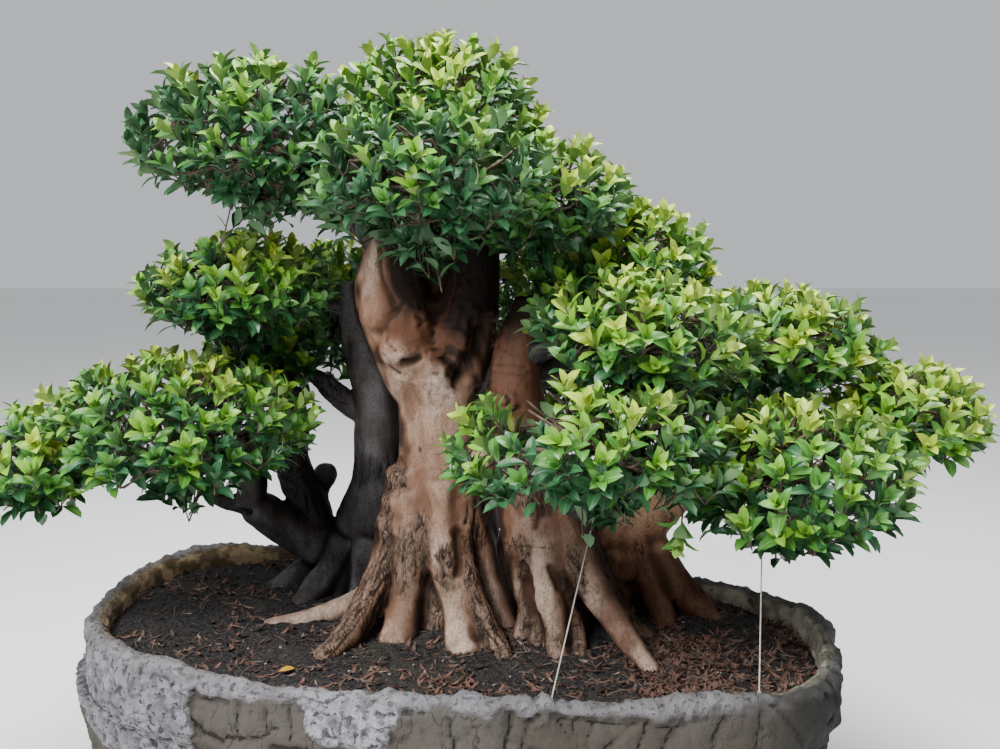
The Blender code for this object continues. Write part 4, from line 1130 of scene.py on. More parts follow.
def carve_bark(mesh, axes, ruggedness, marked, seed):
    """Raise flutes, ridges, cracks and scars on a skin of wood, and note them for its colours."""
    ends = edge_ends(mesh)
    places = coordinates(mesh)
    outward = normals(mesh)
    grain, radii, limbs = grain_places(places, axes)
    thick = numpy.clip(radii / FULL_THICKNESS, 0.12, 1.0)
    seam = seam_share(limbs, ends)

    drift = drifts(places, 26, (seed + 8, seed + 9))
    front = places[:, (0, 2)] + MARK_DRIFT * drift
    torn = front + CRUST_DRIFT * drifts(places, 75, (seed + 11, seed + 12))
    facing = smooth_step(-outward[:, 1], -0.1, 0.3) if marked else numpy.zeros(len(places))
    craggy = blurred(numpy.array(ruggedness)[limbs], ends, 8) + 0.7 * soft_noise(places, 8, seed + 2)
    craggy = smooth_step(craggy, 0.25, 0.75)
    craggy = numpy.maximum(craggy, 0.95 * facing * front_patches(torn, CRUSTS))

    folds = BROAD_FOLDS * soft_noise(places, (9, 9, 4), seed)
    folds += NARROW_FOLDS * soft_noise(grain, (15, 15, 3), seed + 1)
    streaks = soft_noise(grain, (62, 62, 8), seed + 3)
    streaks += 0.35 * soft_noise(grain, (150, 150, 24), seed + 4)
    cracks = 1 - smooth_step(numpy.abs(streaks), 0.0, 0.16)
    plates = numpy.clip(numpy.abs(streaks) * 2.2, 0.0, 1.0)
    plates *= 0.7 + 0.5 * soft_noise(grain, (45, 45, 40), seed + 5)
    fine = rough_noise(grain, (130, 130, 60), 3, seed + 6)
    creases = 1 - smooth_step(numpy.abs(soft_noise(grain, (14, 14, 60), seed + 7)), 0.0, 0.07)
    relief = folds * thick + craggy * (CRUST_PLATES * plates - CRUST_CRACKS * cracks) * thick ** 0.4
    relief += fine * (FINE_GRAIN + CRUSTY_GRAIN * craggy) - (1 - craggy) * creases * CREASES * thick
    relief = relief * (1 - seam) + blurred(relief, ends, 14) * seam
    scarred = numpy.zeros(len(places))
    if marked:
        scarred = cut_marks(relief, front, facing, 1 + 0.35 * soft_noise(places, 60, seed + 10))

    put_coordinates(mesh, places + outward * relief[:, None])
    put_attribute(mesh, "hollow", hollowness(mesh, ends, *HOLLOW_TEST))
    put_attribute(mesh, "valley", hollowness(mesh, ends, *VALLEY_TEST))
    put_attribute(mesh, "craggy", craggy)
    put_attribute(mesh, "streaks", numpy.abs(streaks))
    put_attribute(mesh, "scarred", scarred)
    put_attribute(mesh, "reddened", facing * front_patches(torn, RED_PATCHES))
    # Painted shade: the sides of the wood that are painted darker
    sides = blurred(outward[:, 0], ends, 12) + 0.25 * drift[:, 0]
    (left, left_full), (right, right_full) = SHADED_FLANKS
    put_attribute(mesh, "flank", numpy.maximum(
        smooth_step(-sides, left, left_full), smooth_step(sides, right, right_full)))


def make_bark(name, limbs, roots, burls, skin, ruggedness, seed, marked=False):
    """One skin over limbs, roots and burls, with its relief."""
    voxel, finer = skin
    axes = [Axis(smooth_path(stations, 6)) for stations in limbs]
    axes += [Axis(root_path(limbs[0], *root[:-1])) for root in roots]
    shape = bmesh.new()
    for axis in axes:
        axis.add_tube(shape, TUBE_SIDES)
    for x, y, z, radius in burls:
        bmesh.ops.create_icosphere(
            shape, subdivisions=2, radius=radius, matrix=Matrix.Translation((x, y, z)))
    bmesh.ops.recalc_face_normals(shape, faces=shape.faces)
    item = object_of(shape, name)
    fuse = item.modifiers.new("fuse", "REMESH")
    fuse.mode = "VOXEL"
    fuse.voxel_size = voxel
    ease = item.modifiers.new("ease", "SMOOTH")
    ease.factor = 0.5
    ease.iterations = 3
    if finer:
        split = item.modifiers.new("split", "SUBSURF")
        split.levels = finer
        split.render_levels = finer
    item = plain_mesh(item)
    if roots:
        drop_below(item.data, SOIL_LEVEL - BARK_SINK)
        deepen_valleys(item.data)
    rugged = [ruggedness] * len(limbs) + [root[-1] for root in roots]
    carve_bark(item.data, axes, rugged, marked, seed)
    item.data.shade_smooth()
    return item


def drop_below(mesh, level):
    """Cut a skin off flat at a level and close it there."""
    shape = bmesh.new()
    shape.from_mesh(mesh)
    everything = shape.verts[:] + shape.edges[:] + shape.faces[:]
    cut = bmesh.ops.bisect_plane(
        shape, geom=everything, plane_co=(0, 0, level), plane_no=(0, 0, 1), clear_inner=True)
    rim = [edge for edge in cut["geom_cut"] if isinstance(edge, bmesh.types.BMEdge)]
    bmesh.ops.holes_fill(shape, edges=rim)
    drop_scraps(shape)
    shape.to_mesh(mesh)
    shape.free()


def drop_scraps(shape):
    """Delete whatever small bits hang loose beside the skin itself."""
    seen = set()
    islands = []
    for start in shape.verts:
        if start in seen:
            continue
        seen.add(start)
        island = [start]
        for vert in island:
            for edge in vert.link_edges:
                other = edge.other_vert(vert)
                if other not in seen:
                    seen.add(other)
                    island.append(other)
        islands.append(island)
    islands.sort(key=len)
    scraps = [vert for island in islands[:-1] for vert in island]
    bmesh.ops.delete(shape, geom=scraps, context="VERTS")


def shade_crown(colour, across, height, broad):
    """Painted shade on the trunk under its crown: ruddy stretches, partly red bark and partly painted shade,
    and near-black ones.
    """
    rise = height + 0.10 * (broad - 0.5)
    ruddy = (rise + 0.35 * across).band(0.94, 1.02) * across.band(-0.150, -0.115)
    ruddy = ruddy.maths("MAXIMUM", ruddy, rise.band(0.80, 0.88) * across.band(0.085, 0.100))
    colour = (ruddy * 0.88).mix(colour, RUDDY_SHADE)
    deep_shade = (rise + 1.2 * across).band(1.015, 1.075) * across.band(0.100, 0.088)
    deep_shade = deep_shade.maths("MAXIMUM", deep_shade, rise.band(1.01, 1.07) * across.band(0.085, 0.100))
    colour = (deep_shade * 0.94).mix(colour, CROWN_SHADE_BARK)
    deep_shade = across.band(-0.128, -0.104) * rise.band(1.075, 1.115)
    return (deep_shade * 0.90).mix(colour, CROWN_SHADE_FLANK)


def bark_finish(name, pale, warm, red_share, shaded=False, shaded_foot=False):
    """Bark in pale, warm and dark tones: darker in its cracks, redder in patches, with painted shade in its
    hollows, valleys, scars and sides, and painted highlights low on the wood and on its crust's ridges.
    """
    finish = Finish(name, specular_ior_level=0.16)
    hollow, craggy, valley, scarred, reddened, flank, streaked = finish.attributes(
        "hollow", "craggy", "valley", "scarred", "reddened", "flank", "streaks")
    across = finish.place.part("X")
    height = finish.place.part("Z")
    broad = finish.clouds(7.0, 4.0)
    streaks = finish.clouds(34.0, 6.0, stretch=(1.0, 1.0, 0.20))
    specks = finish.clouds(240.0, 4.0)
    cracks = streaked + 0.10 * (specks - 0.5)
    stains = finish.clouds(15.0, 6.0, stretch=(1.0, 1.0, 0.55))
    umber = times(warm, UMBER_SHARE)
    near_black = times(warm, NEAR_BLACK_SHARE)
    colour = broad.band(0.40, 0.62).mix(pale, warm)
    # Painted highlight: pale bark made lighter low on the wood, in patches
    colour = (height.band(0.66, 0.48) * stains.band(0.56, 0.44)).mix(colour, times(pale, FOOT_HIGHLIGHT))
    colour = (streaks.band(0.46, 0.70) * 0.45).mix(colour, umber)
    red = finish.clouds(5.0, 3.0, stretch=(1.0, 1.0, 0.6)).band(0.52, 0.66) * red_share
    red = red.maths("MAXIMUM", red, reddened * stains.band(0.34, 0.58) * 0.85)
    colour = red.mix(colour, RED_BARK)
    # Brown stains, and painted shade in the valleys between roots
    stain_and_valley_shade = valley.band(0.40, 0.62) + stains.band(0.48, 0.62) * 0.7
    colour = (stain_and_valley_shade.band(0.0, 1.3) * 0.80).mix(colour, umber)
    colour = (specks.band(0.50, 0.62) * 0.45).mix(colour, umber)
    ridges = finish.folds(30.0, stretch=(1.0, 1.0, 0.28))
    crackle = finish.folds(74.0, stretch=(1.0, 1.0, 0.42))
    crusty = times(warm, CRUST_SHARE)
    crust = streaks.band(0.36, 0.62).mix(crusty, times(crusty, DARK_CRUST))
    # Painted highlight: the crust is lighter on its ridges
    crust = (hollow.band(0.44, 0.16) * 0.40).mix(crust, warm)
    colour = (craggy * 0.92).mix(colour, crust)
    # Painted shade on the wood's sides, brown and then near black
    colour = (flank.band(0.0, 0.55) * 0.80).mix(colour, umber)
    colour = (flank.band(0.50, 1.0) * 0.88).mix(colour, near_black)
    # Painted shade: darker at the stem's foot
    if shaded_foot:
        rise = height + 0.08 * (stains - 0.5)
        colour = (rise.band(0.575, 0.535) * 0.78).mix(colour, times(umber, FOOT_SHADE_SHARE))
    if shaded:
        colour = shade_crown(colour, across, height, broad)
    # Painted shade: near black in the hollows and in the valleys between roots
    colour = (hollow.band(0.56, 0.90) * 0.80).mix(colour, near_black)
    colour = (valley.band(0.50, 0.80) * 0.94).mix(colour, near_black)
    colour = (cracks.band(0.10, 0.03) * craggy * 0.85).mix(colour, near_black)
    colour = (ridges.band(0.018, 0.003) * (0.28 + 0.55 * craggy)).mix(colour, near_black)
    colour = (crackle.band(0.020, 0.003) * craggy * 0.65).mix(colour, near_black)
    # Scars, partly their own colour and partly painted shade in the folds and hollows
    colour = (scarred.band(0.03, 0.40) * 0.55).mix(colour, umber)
    colour = (scarred.band(0.20, 0.90) * 0.92).mix(colour, near_black)
    torn = ridges.band(0.0, 0.05) + 0.5 * crackle.band(0.0, 0.04)
    relief = finish.clouds(420.0, 4.0) * 0.4 + streaks + craggy * torn
    finish.set(
        base_color=colour,
        roughness=0.58 + 0.25 * craggy,
        normal=finish.bump(relief, 0.0026, 0.9),
    )
    return finish.material


def make_wood(bough_paths):
    tan = bark_finish("tan_bark", *TAN_TONES, 0.6, shaded=True)
    # The stem behind, with painted shade at its foot
    rear_bark = bark_finish("damp_bark", *REAR_STEM_TONES, 0.5, shaded_foot=True)
    # Painted shade: the limbs and boughs take a darkened copy of the bark
    dark = bark_finish("dark_bark", *SHADED_LIMB_TONES, 0.0)
    trunk = make_bark(
        "trunk_bark", (TRUNK, FORK_LEFT, FORK_RIGHT, FORK_BACK), TRUNK_ROOTS, TRUNK_BURLS,
        STOUT_SKIN, ruggedness=0.0, seed=1.0, marked=True)
    finish_piece(trunk, "bark", "trunk", materials=[tan])
    right = make_bark(
        "stem_right_bark", (STEM_RIGHT,), STEM_RIGHT_ROOTS, STEM_RIGHT_BURLS,
        STOUT_SKIN, ruggedness=0.1, seed=2.0, marked=True)
    finish_piece(right, "bark", "stem_right", materials=[tan])
    rear = make_bark(
        "stem_rear_right_bark", (STEM_REAR_RIGHT,), STEM_REAR_RIGHT_ROOTS, STEM_REAR_RIGHT_BURLS,
        STOUT_SKIN, ruggedness=0.2, seed=3.0)
    finish_piece(rear, "bark", "stem_rear_right", materials=[rear_bark])
    left_names = [name for name in LIMBS if name != "stub_right"]
    left = make_bark(
        "left_limbs_bark", (STEM_REAR_LEFT, *(LIMBS[name] for name in left_names)),
        STEM_REAR_LEFT_ROOTS, (), LIMB_SKIN, ruggedness=0.3, seed=4.0)
    finish_piece(left, "dark_bark", "stem_rear_left", *left_names, materials=[dark])
    boughs = make_bark(
        "boughs_bark", (LIMBS["stub_right"], *bough_paths.values()), (), (),
        BOUGH_SKIN, ruggedness=0.2, seed=5.0)
    bough_names = [f"bough_{mass}" for mass in bough_paths]
    finish_piece(boughs, "dark_bark", "stub_right", *bough_names, materials=[dark])


# Foliage


class Foliage:
    """The masses' spaces: each is a flattened ball less what its neighbours own."""

    def __init__(self):
        self.names = list(MASSES)
        self.centres = numpy.array([MASSES[name][0] for name in self.names])
        self.halves = numpy.array([MASSES[name][1] for name in self.names])

    def depths(self, points):
        """How far out of each mass each point is: 0 at its middle, 1 on its skin."""
        offset = numpy.atleast_2d(points)[:, None, :] - self.centres
        halves = numpy.broadcast_to(self.halves, offset.shape).copy()
        halves[..., 2] *= numpy.where(offset[..., 2] < 0, UNDERSIDE, 1.0)
        return (numpy.abs(offset / halves) ** SQUARENESS).sum(axis=2) ** (1 / SQUARENESS)

    def owns(self, name, points, slack):
        """True where a point lies in the mass's own space."""
        depths = self.depths(points)
        index = self.names.index(name)
        own = depths[:, index]
        others = numpy.delete(depths, index, axis=1).min(axis=1)
        return (own <= 1.0 + slack) & (own < others + slack)

    def skin_reach(self, name, direction):
        """Length of the ray from the middle of the mass to its own skin."""
        wide, deep, high = MASSES[name][1]
        high *= UNDERSIDE if direction.z < 0 else 1.0
        shares = (direction.x / wide, direction.y / deep, direction.z / high)
        return sum(abs(share) ** SQUARENESS for share in shares) ** (-1 / SQUARENESS)

    def space_reach(self, name, direction):
        """Length of the same ray to where a neighbour's space starts."""
        full = self.skin_reach(name, direction)
        lengths = numpy.linspace(REACH_START, 1.0, REACH_STEPS) * full
        points = numpy.array(MASSES[name][0]) + lengths[:, None] * numpy.array(direction)
        inside = self.owns(name, points, REACH_SLACK)
        return full if inside.all() else lengths[max(int(inside.argmin()) - 1, 0)]


class Obstacles:
    """Limbs and openings as tapering capsules, to keep leaves clear of them."""

    def __init__(self, paths):
        self.starts = numpy.array([tuple(start) for path in paths for start in path[:-1]])
        self.ends = numpy.array([tuple(end) for path in paths for end in path[1:]])

    def gaps(self, points):
        run = self.ends - self.starts
        offset = points[:, None, :] - self.starts[None, :, :3]
        along = (offset * run[:, :3]).sum(axis=2) / (run[:, :3] ** 2).sum(axis=1)
        along = numpy.clip(along, 0.0, 1.0)[..., None]
        near = self.starts + run * along
        apart = numpy.linalg.norm(points[:, None, :] - near[..., :3], axis=2)
        return (apart - near[..., 3]).min(axis=1)


def bough_path(foliage, mass):
    """One tapering limb from its start to just inside its mass."""
    start, radius, rise = BOUGHS[mass]
    centre = Vector(MASSES[mass][0])
    start = Vector(start)
    halfway = start.lerp(centre, BOUGH_HALFWAY) + Vector((0.0, 0.0, rise))
    inward = (halfway - centre).normalized()
    reach = max(foliage.skin_reach(mass, inward) - BOUGH_END_DEPTH, BOUGH_LEAST_REACH)
    tip = centre + inward * reach
    if (tip - centre).length > (halfway - centre).length:
        halfway = tip + (start - tip) * SHORT_BOUGH_BEND
    stations = []
    for step in range(BOUGH_STATIONS):
        t = step / (BOUGH_STATIONS - 1)
        point = start * (1 - t) ** 2 + halfway * 2 * t * (1 - t) + tip * t ** 2
        stations.append(Vector((*point, radius * (1 - (1 - BOUGH_TAPER) * t))))
    return stations


def even_directions(count, turn):
    """Directions spread evenly over a ball, as along a spiral."""
    spread = []
    for index in range(count):
        height = 1 - 2 * (index + 0.5) / count
        angle = index * GOLDEN_TURN + turn
        flat = math.sqrt(1 - height * height)
        spread.append(Vector((flat * math.cos(angle), flat * math.sin(angle), height)))
    return spread


def spread_out(name, count, rng, shake):
    """Directions from the middle of a mass, even over its skin and a little shaken."""
    spread = []
    for direction in even_directions(count, rng.uniform(0, 2 * math.pi)):
        shaken = [part + rng.uniform(-shake, shake) for part in direction]
        stretched = [part * half for part, half in zip(shaken, MASSES[name][1])]
        spread.append(Vector(stretched).normalized())
    return spread


def skin_area(half):
    """Rough area of a flattened ball."""
    a, b, c = half[0], half[1], half[2] * (1 + UNDERSIDE) / 2
    power = 1.6
    mean = ((a * b) ** power + (a * c) ** power + (b * c) ** power) / 3
    return 4 * math.pi * mean ** (1 / power)


class Spray:
    """The twigs and leaves of one region while they grow."""

    def __init__(self):
        self.twigs = []
        self.roots = []
        self.turns = []
        self.sizes = []
        self.tints = []

    def add_twig(self, start, end, radii, bow=(0.0, 0.0, 0.0)):
        thick, thin = radii
        middle = start.lerp(end, 0.5) + Vector(bow)
        self.twigs.append(((start, thick), (middle, (thick + thin) / 2), (end, thin)))

    def add_shoot(self, base, tip, tint, rng):
        """A shoot whose leaves turn round it, wide below and closed at its tip."""
        axis = (tip - base).normalized()
        side = axis.orthogonal().normalized()
        side.rotate(Matrix.Rotation(rng.uniform(0, 2 * math.pi), 3, axis))
        count = rng.randint(*LEAVES_PER_SHOOT)
        for index in range(count):
            share = index / (count - 1)
            root = base.lerp(tip, 0.15 + 0.85 * share ** 0.75)
            out = side.copy()
            out.rotate(Matrix.Rotation(index * GOLDEN_TURN + rng.uniform(-0.3, 0.3), 3, axis))
            splay = rng.uniform(-LEAF_SPLAY_SHAKE, LEAF_SPLAY_SHAKE)
            open_angle = math.radians(LEAF_SPLAY - LEAF_CLOSING * share + splay)
            along = axis * math.cos(open_angle) + out * math.sin(open_angle)
            face = axis * math.sin(open_angle) - out * math.cos(open_angle)
            face = (face + Vector((0, 0, 0.35 * (1 - share)))).normalized()
            size = rng.uniform(*LEAF_SIZES) * (1 - TIP_LEAF_LOSS * share ** 3)
            older = 1 if share < OLDER_SHARE and tint < OLDEST_TINT else 0
            self.add_leaf(root, along, face, size, rng.uniform(*LEAF_BENDS), tint + older)

    def add_leaf(self, root, along, face, size, bend, tint):
        side = face.cross(along).normalized()
        along = along.normalized()
        face = along.cross(side)
        self.roots.append(tuple(root))
        self.turns.append(tuple(Matrix((along, side, face)).transposed().to_quaternion()))
        self.sizes.append((size, size, size * bend))
        self.tints.append(tint)


def shoot_tint(name, direction, depth, rng):
    """Young tints on top and outside, deep ones below and inside: partly leaf age and partly painted light
    and shade.
    """
    light = LIGHT_ASIDE + LIGHT_ABOVE * direction.z + LIGHT_OUTSIDE * (depth - 1)
    light += rng.uniform(-LIGHT_SHAKE, LIGHT_SHAKE)
    light += FRESHNESS_AND_LIGHT.get(name, 0.0)
    for tint, limit in enumerate(TINT_LIMITS):
        if light > limit:
            return tint
    return OLDEST_TINT


def random_shift(rng, reach):
    return Vector([rng.uniform(-reach, reach) for _ in range(3)])


def nearest(spots, place):
    return min(spots, key=lambda spot: (spot - place).length)


def grow_branches(spray, foliage, name, tip, rng):
    """The stem from the bough's tip, its forks and their twigs: the places where the twigs end."""
    centre = Vector(MASSES[name][0])
    stem_start = tip.to_3d()
    spray.add_twig(stem_start, centre, (tip.w * 0.95, tip.w * 0.5), STEM_BOW)
    forks = []
    for direction in spread_out(name, FORKS_PER_MASS, rng, BRANCH_SHAKE):
        place = centre + direction * foliage.space_reach(name, direction) * FORK_DEPTH
        forks.append(place)
        start = stem_start.lerp(centre, rng.uniform(0.55, 1.0))
        spray.add_twig(start, place, FORK_RADII, FORK_BOW)
    twigs = []
    for direction in spread_out(name, FORKS_PER_MASS * TWIGS_PER_FORK, rng, BRANCH_SHAKE):
        place = centre + direction * foliage.space_reach(name, direction) * TWIG_DEPTH
        twigs.append(place)
        spray.add_twig(nearest(forks, place), place, TWIG_RADII, random_shift(rng, TWIG_BOW))
    return twigs


def shoot_plan(name, rng):
    """Direction and depth of every shoot of a mass, the outer ones first."""
    outer = skin_area(MASSES[name][1]) / AREA_PER_SHOOT * (BEHIND_SHARE if "back" in name else 1.0)
    outer = round(outer)
    plan = []
    for count, depths in ((outer, SKIN_DEPTHS), (round(outer * INNER_SHARE), INNER_DEPTHS)):
        for direction in spread_out(name, count, rng, SPREAD_SHAKE):
            plan.append((direction, rng.uniform(*depths)))
    return plan


def grow_shoots(spray, foliage, obstacles, name, twigs, rng):
    """Leafy shoots on the nearest twigs, fewer and further in on the mass's underside."""
    centre = Vector(MASSES[name][0])
    for direction, depth in shoot_plan(name, rng):
        full = foliage.skin_reach(name, direction)
        reach = foliage.space_reach(name, direction)
        beneath = min(1.0, max(0.0, (-direction.z - UNDERSIDE_START) / UNDERSIDE_BAND))
        if reach < full * LEAST_REACH or rng.random() < beneath * (1 - UNDERSIDE_SHARE):
            continue
        depth *= 1 - UNDERSIDE_RISE * beneath
        if rng.random() < STRAY_SHARE:
            depth += STRAY_DEPTH
        aim = direction + Vector((0, 0, SHOOT_LIFT * (1 - beneath)))
        aim.z += beneath * (UNDERSIDE_AIM - direction.z)
        aim += random_shift(rng, SHOOT_SHAKE)
        aim.normalize()
        end = centre + direction * reach * depth - aim * LEAF_LENGTH * TIP_LEAF_SHARE
        base = end - aim * SHOOT_LENGTH * rng.uniform(*SHOOT_LENGTH_SHARES)
        spots = numpy.array([end, base, end + aim * LEAF_LENGTH * TIP_ROOM_SHARE])
        if obstacles.gaps(spots).min() < LIMB_ROOM:
            continue
        spray.add_twig(nearest(twigs, base), base, SHOOT_STEM_RADII, random_shift(rng, SHOOT_BOW))
        spray.add_twig(base, end, SHOOT_RADII)
        spray.add_shoot(base, end, shoot_tint(name, direction, depth, rng), rng)


def grow_mass(spray, foliage, obstacles, name, tip):
    """All that grows on from a bough's tip within the mass's own space."""
    rng = random.Random(name)
    twigs = grow_branches(spray, foliage, name, tip, rng)
    grow_shoots(spray, foliage, obstacles, name, twigs, rng)
    for mass, base, end in SPRIGS:
        if mass == name:
            base, end = Vector(base), Vector(end)
            spray.add_twig(nearest(twigs, base), base, SPRIG_STEM_RADII)
            spray.add_twig(base, end, SPRIG_RADII)
            spray.add_shoot(base, end, FRESH_TINT, rng)


def leaf_parts():
    """Blade, underside and midrib of a leaf one unit long and wide, with its root at the origin."""
    rows = []
    for share, half_width in LEAF_ROWS:
        middle = LEAF_ARCH * math.sin(math.pi * share) - LEAF_DROOP * share ** 3
        side = middle + LEAF_FOLD * half_width
        rib = min(LEAF_RIB, half_width * 0.7)
        rows.append({
            "left": (share, half_width, side),
            "right": (share, -half_width, side),
            "rib_left": (share, rib, middle),
            "rib_right": (share, -rib, middle),
            "below": (share, 0.0, middle - LEAF_THICKNESS),
        })
    root, tip = (0.0, 0.0, 0.0), (1.0, 0.0, -LEAF_DROOP)
    strips = {
        "blade": (("left", "rib_left"), ("rib_right", "right")),
        "underside": (("below", "left"), ("right", "below")),
        "rib": (("rib_left", "rib_right"),),
    }
    parts = {}
    for part, pairs in strips.items():
        shape = bmesh.new()
        for first, second in pairs:
            one = [shape.verts.new(row[first]) for row in rows]
            other = [shape.verts.new(row[second]) for row in rows]
            start, end = shape.verts.new(root), shape.verts.new(tip)
            shape.faces.new((start, other[0], one[0]))
            shape.faces.new((end, one[-1], other[-1]))
            for row in range(len(rows) - 1):
                shape.faces.new((one[row], other[row], other[row + 1], one[row + 1]))
        bmesh.ops.remove_doubles(shape, verts=shape.verts, dist=0.0001)
        parts[part] = object_of(shape, f"leaf_{part}")
        parts[part].data.shade_smooth()
    return parts


def leaf_finish(name, colour, roughness):
    """A leaf's glossy skin in one plain colour."""
    finish = Finish(name, base_color=colour, specular_ior_level=0.45)
    finish.set(roughness=roughness + 0.12 * finish.clouds(40.0, 2.0))
    return finish.material


def leaf_finishes():
    """Materials of each tint's blade, underside and midrib."""
    finishes = {}
    for tint, (blade, underside) in TINTS.items():
        rib = tuple(b + (u * RIB_LIGHT - b) * (1 - RIB_SHARE) for b, u in zip(blade, underside))
        smooth, matt, soft = LEAF_ROUGHNESS
        finishes[tint] = {
            "blade": leaf_finish(f"{tint}_leaf", blade, smooth),
            "underside": leaf_finish(f"{tint}_leaf_underside", underside, matt),
            "rib": leaf_finish(f"{tint}_leaf_rib", rib, soft),
        }
    return finishes


def geometry_tree(name, inputs):
    """An empty Geometry Nodes tree, with the wires of its geometry and of each named input."""
    tree = bpy.data.node_groups.new(name, "GeometryNodeTree")
    tree.interface.new_socket("Geometry", in_out="INPUT", socket_type="NodeSocketGeometry")
    tree.interface.new_socket("Geometry", in_out="OUTPUT", socket_type="NodeSocketGeometry")
    for label, kind in inputs.items():
        tree.interface.new_socket(label, in_out="INPUT", socket_type=kind)
    start = tree.nodes.new("NodeGroupInput")
    return tree, [Wire(tree, start.outputs[label]) for label in ("Geometry", *inputs)]


def end_tree(tree, socket):
    end = tree.nodes.new("NodeGroupOutput")
    tree.links.new(socket, end.inputs[0])


def run_tree(item, tree, values):
    """Run a Geometry Nodes tree on an object and keep the result as a plain mesh."""
    modifier = item.modifiers.new(tree.name, "NODES")
    modifier.node_group = tree
    for socket in tree.interface.items_tree:
        if socket.name in values:
            modifier[socket.identifier] = values[socket.name]
    return plain_mesh(item)


def foliage_tree(parts, finishes):
    """Puts a leaf, in its spray's tint, on every point."""
    tree, (points, length, width) = geometry_tree(
        "leaves_on_shoots", {"Length": "NodeSocketFloat", "Width": "NodeSocketFloat"})
    turn, size, tint = (
        points.node("GeometryNodeInputNamedAttribute", {"Name": name}, data_type=kind)
        for name, kind in (("turn", "QUATERNION"), ("size", "FLOAT_VECTOR"), ("tint", "INT")))
    shape = points.node("ShaderNodeCombineXYZ", {"X": length, "Y": width, "Z": width})
    scale = points.node("ShaderNodeVectorMath", {0: size, 1: shape}, operation="MULTIPLY")
    joined = tree.nodes.new("GeometryNodeJoinGeometry")
    for number, finish in enumerate(finishes.values()):
        chosen = points.node(
            "FunctionNodeCompare", {2: tint, 3: number}, data_type="INT", operation="EQUAL")
        for part, item in parts.items():
            leaf = points.node("GeometryNodeObjectInfo", {"Object": item}, output="Geometry")
            placed = points.node("GeometryNodeInstanceOnPoints", {
                "Points": points, "Selection": chosen, "Instance": leaf,
                "Rotation": turn, "Scale": scale,
            })
            real = points.node("GeometryNodeRealizeInstances", {"Geometry": placed})
            dressed = points.node(
                "GeometryNodeSetMaterial", {"Geometry": real, "Material": finish[part]})
            tree.links.new(dressed.socket, joined.inputs[0])
    end_tree(tree, joined.outputs[0])
    return tree


def make_leaves(name, spray, tree):
    mesh = bpy.data.meshes.new(name)
    mesh.from_pydata(spray.roots, [], [])
    turns = mesh.attributes.new("turn", "QUATERNION", "POINT")
    turns.data.foreach_set("value", numpy.array(spray.turns).ravel())
    sizes = mesh.attributes.new("size", "FLOAT_VECTOR", "POINT")
    sizes.data.foreach_set("vector", numpy.array(spray.sizes).ravel())
    tints = mesh.attributes.new("tint", "INT", "POINT")
    tints.data.foreach_set("value", spray.tints)
    return run_tree(link_object(name, mesh), tree, {"Length": LEAF_LENGTH, "Width": LEAF_WIDTH})


def twig_finish():
    finish = Finish("twig_bark", roughness=0.75, specular_ior_level=0.25)
    patches = finish.clouds(60.0, 3.0)
    finish.set(
        base_color=patches.band(0.4, 0.65).mix(*TWIG_TONES),
        normal=finish.bump(finish.clouds(500.0, 3.0), 0.0006, 0.6),
    )
    return finish.material


def make_foliage(foliage, bough_paths):
    limb_paths = [smooth_path(stations, 3) for stations in (
        TRUNK, FORK_LEFT, FORK_RIGHT, FORK_BACK, STEM_RIGHT, STEM_REAR_RIGHT, STEM_REAR_LEFT,
        *LIMBS.values(),
    )]
    openings = [[Vector(end) for end in ends] for ends in OPENINGS]
    obstacles = Obstacles(limb_paths + openings)
    tips = {mass: path[-1] for mass, path in bough_paths.items()}
    tips.update({mass: Vector(LIMBS[limb][-1]) for mass, limb in TIP_MASSES.items()})
    parts = leaf_parts()
    tree = foliage_tree(parts, leaf_finishes())
    bark = twig_finish()
    for region, names in REGIONS.items():
        spray = Spray()
        for name in names:
            grow_mass(spray, foliage, obstacles, name, tips[name])
        finish_piece(make_leaves(f"leaves_{region}", spray, tree), "foliage", *names)
        twigs = round_wires(f"twigs_{region}", spray.twigs, 1.0, 0)
        finish_piece(twigs, "dark_bark", materials=[bark])
    root, along, face, size, bend = FALLEN_LEAF
    fallen = Spray()
    fallen.add_leaf(root, Vector(along), Vector(face), size, bend, FALLEN_TINT)
    finish_piece(make_leaves("fallen_leaf", fallen, tree), "soil")
    discard(*parts.values())


# Pot


def pot_outline(turns, insets, levels, roughness):
    """Points on the pot's outline, moved in by the insets and roughened like rock."""
    power = 2 / POT_SQUARENESS
    along = numpy.copysign(numpy.abs(numpy.cos(turns)) ** power, numpy.cos(turns))
    across = numpy.copysign(numpy.abs(numpy.sin(turns)) ** power, numpy.sin(turns))
    depth = numpy.where(across < 0, POT_FRONT_DEPTH, POT_BACK_DEPTH - POT_BACK_NARROWING * along)
    reach = numpy.stack([(POT_HALF_LENGTH - insets) * along, (depth - insets) * across], axis=1)
    spots = numpy.column_stack([reach, levels])
    swell = 2 * POT_ROUGHNESS * roughness * soft_noise(spots, ROCK_LUMPS_PER_METRE)
    ledge = (levels > POT_LEDGE_LEVELS[0]) & (levels < POT_LEDGE_LEVELS[1])
    swell += ledge * POT_LEDGE * numpy.clip(-along, 0.0, 1.0) ** POT_LEDGE_SHARPNESS
    reach *= (1 + swell / numpy.linalg.norm(reach, axis=1))[:, None]
    return numpy.column_stack([reach[:, 0], reach[:, 1] - POT_SLEW * reach[:, 0], levels])


def even_turns(count):
    """Turns round the pot whose points lie evenly along its outline."""
    fine = numpy.linspace(0, 2 * math.pi, 6001)
    zeros = numpy.zeros(len(fine))
    points = pot_outline(fine, zeros, zeros + 0.3, zeros)
    steps = numpy.linalg.norm(numpy.diff(points, axis=0), axis=1)
    runs = numpy.concatenate([[0.0], numpy.cumsum(steps)])
    wanted = numpy.arange(count) * runs[-1] / count
    return numpy.interp(wanted, runs, fine), wanted, runs[-1]


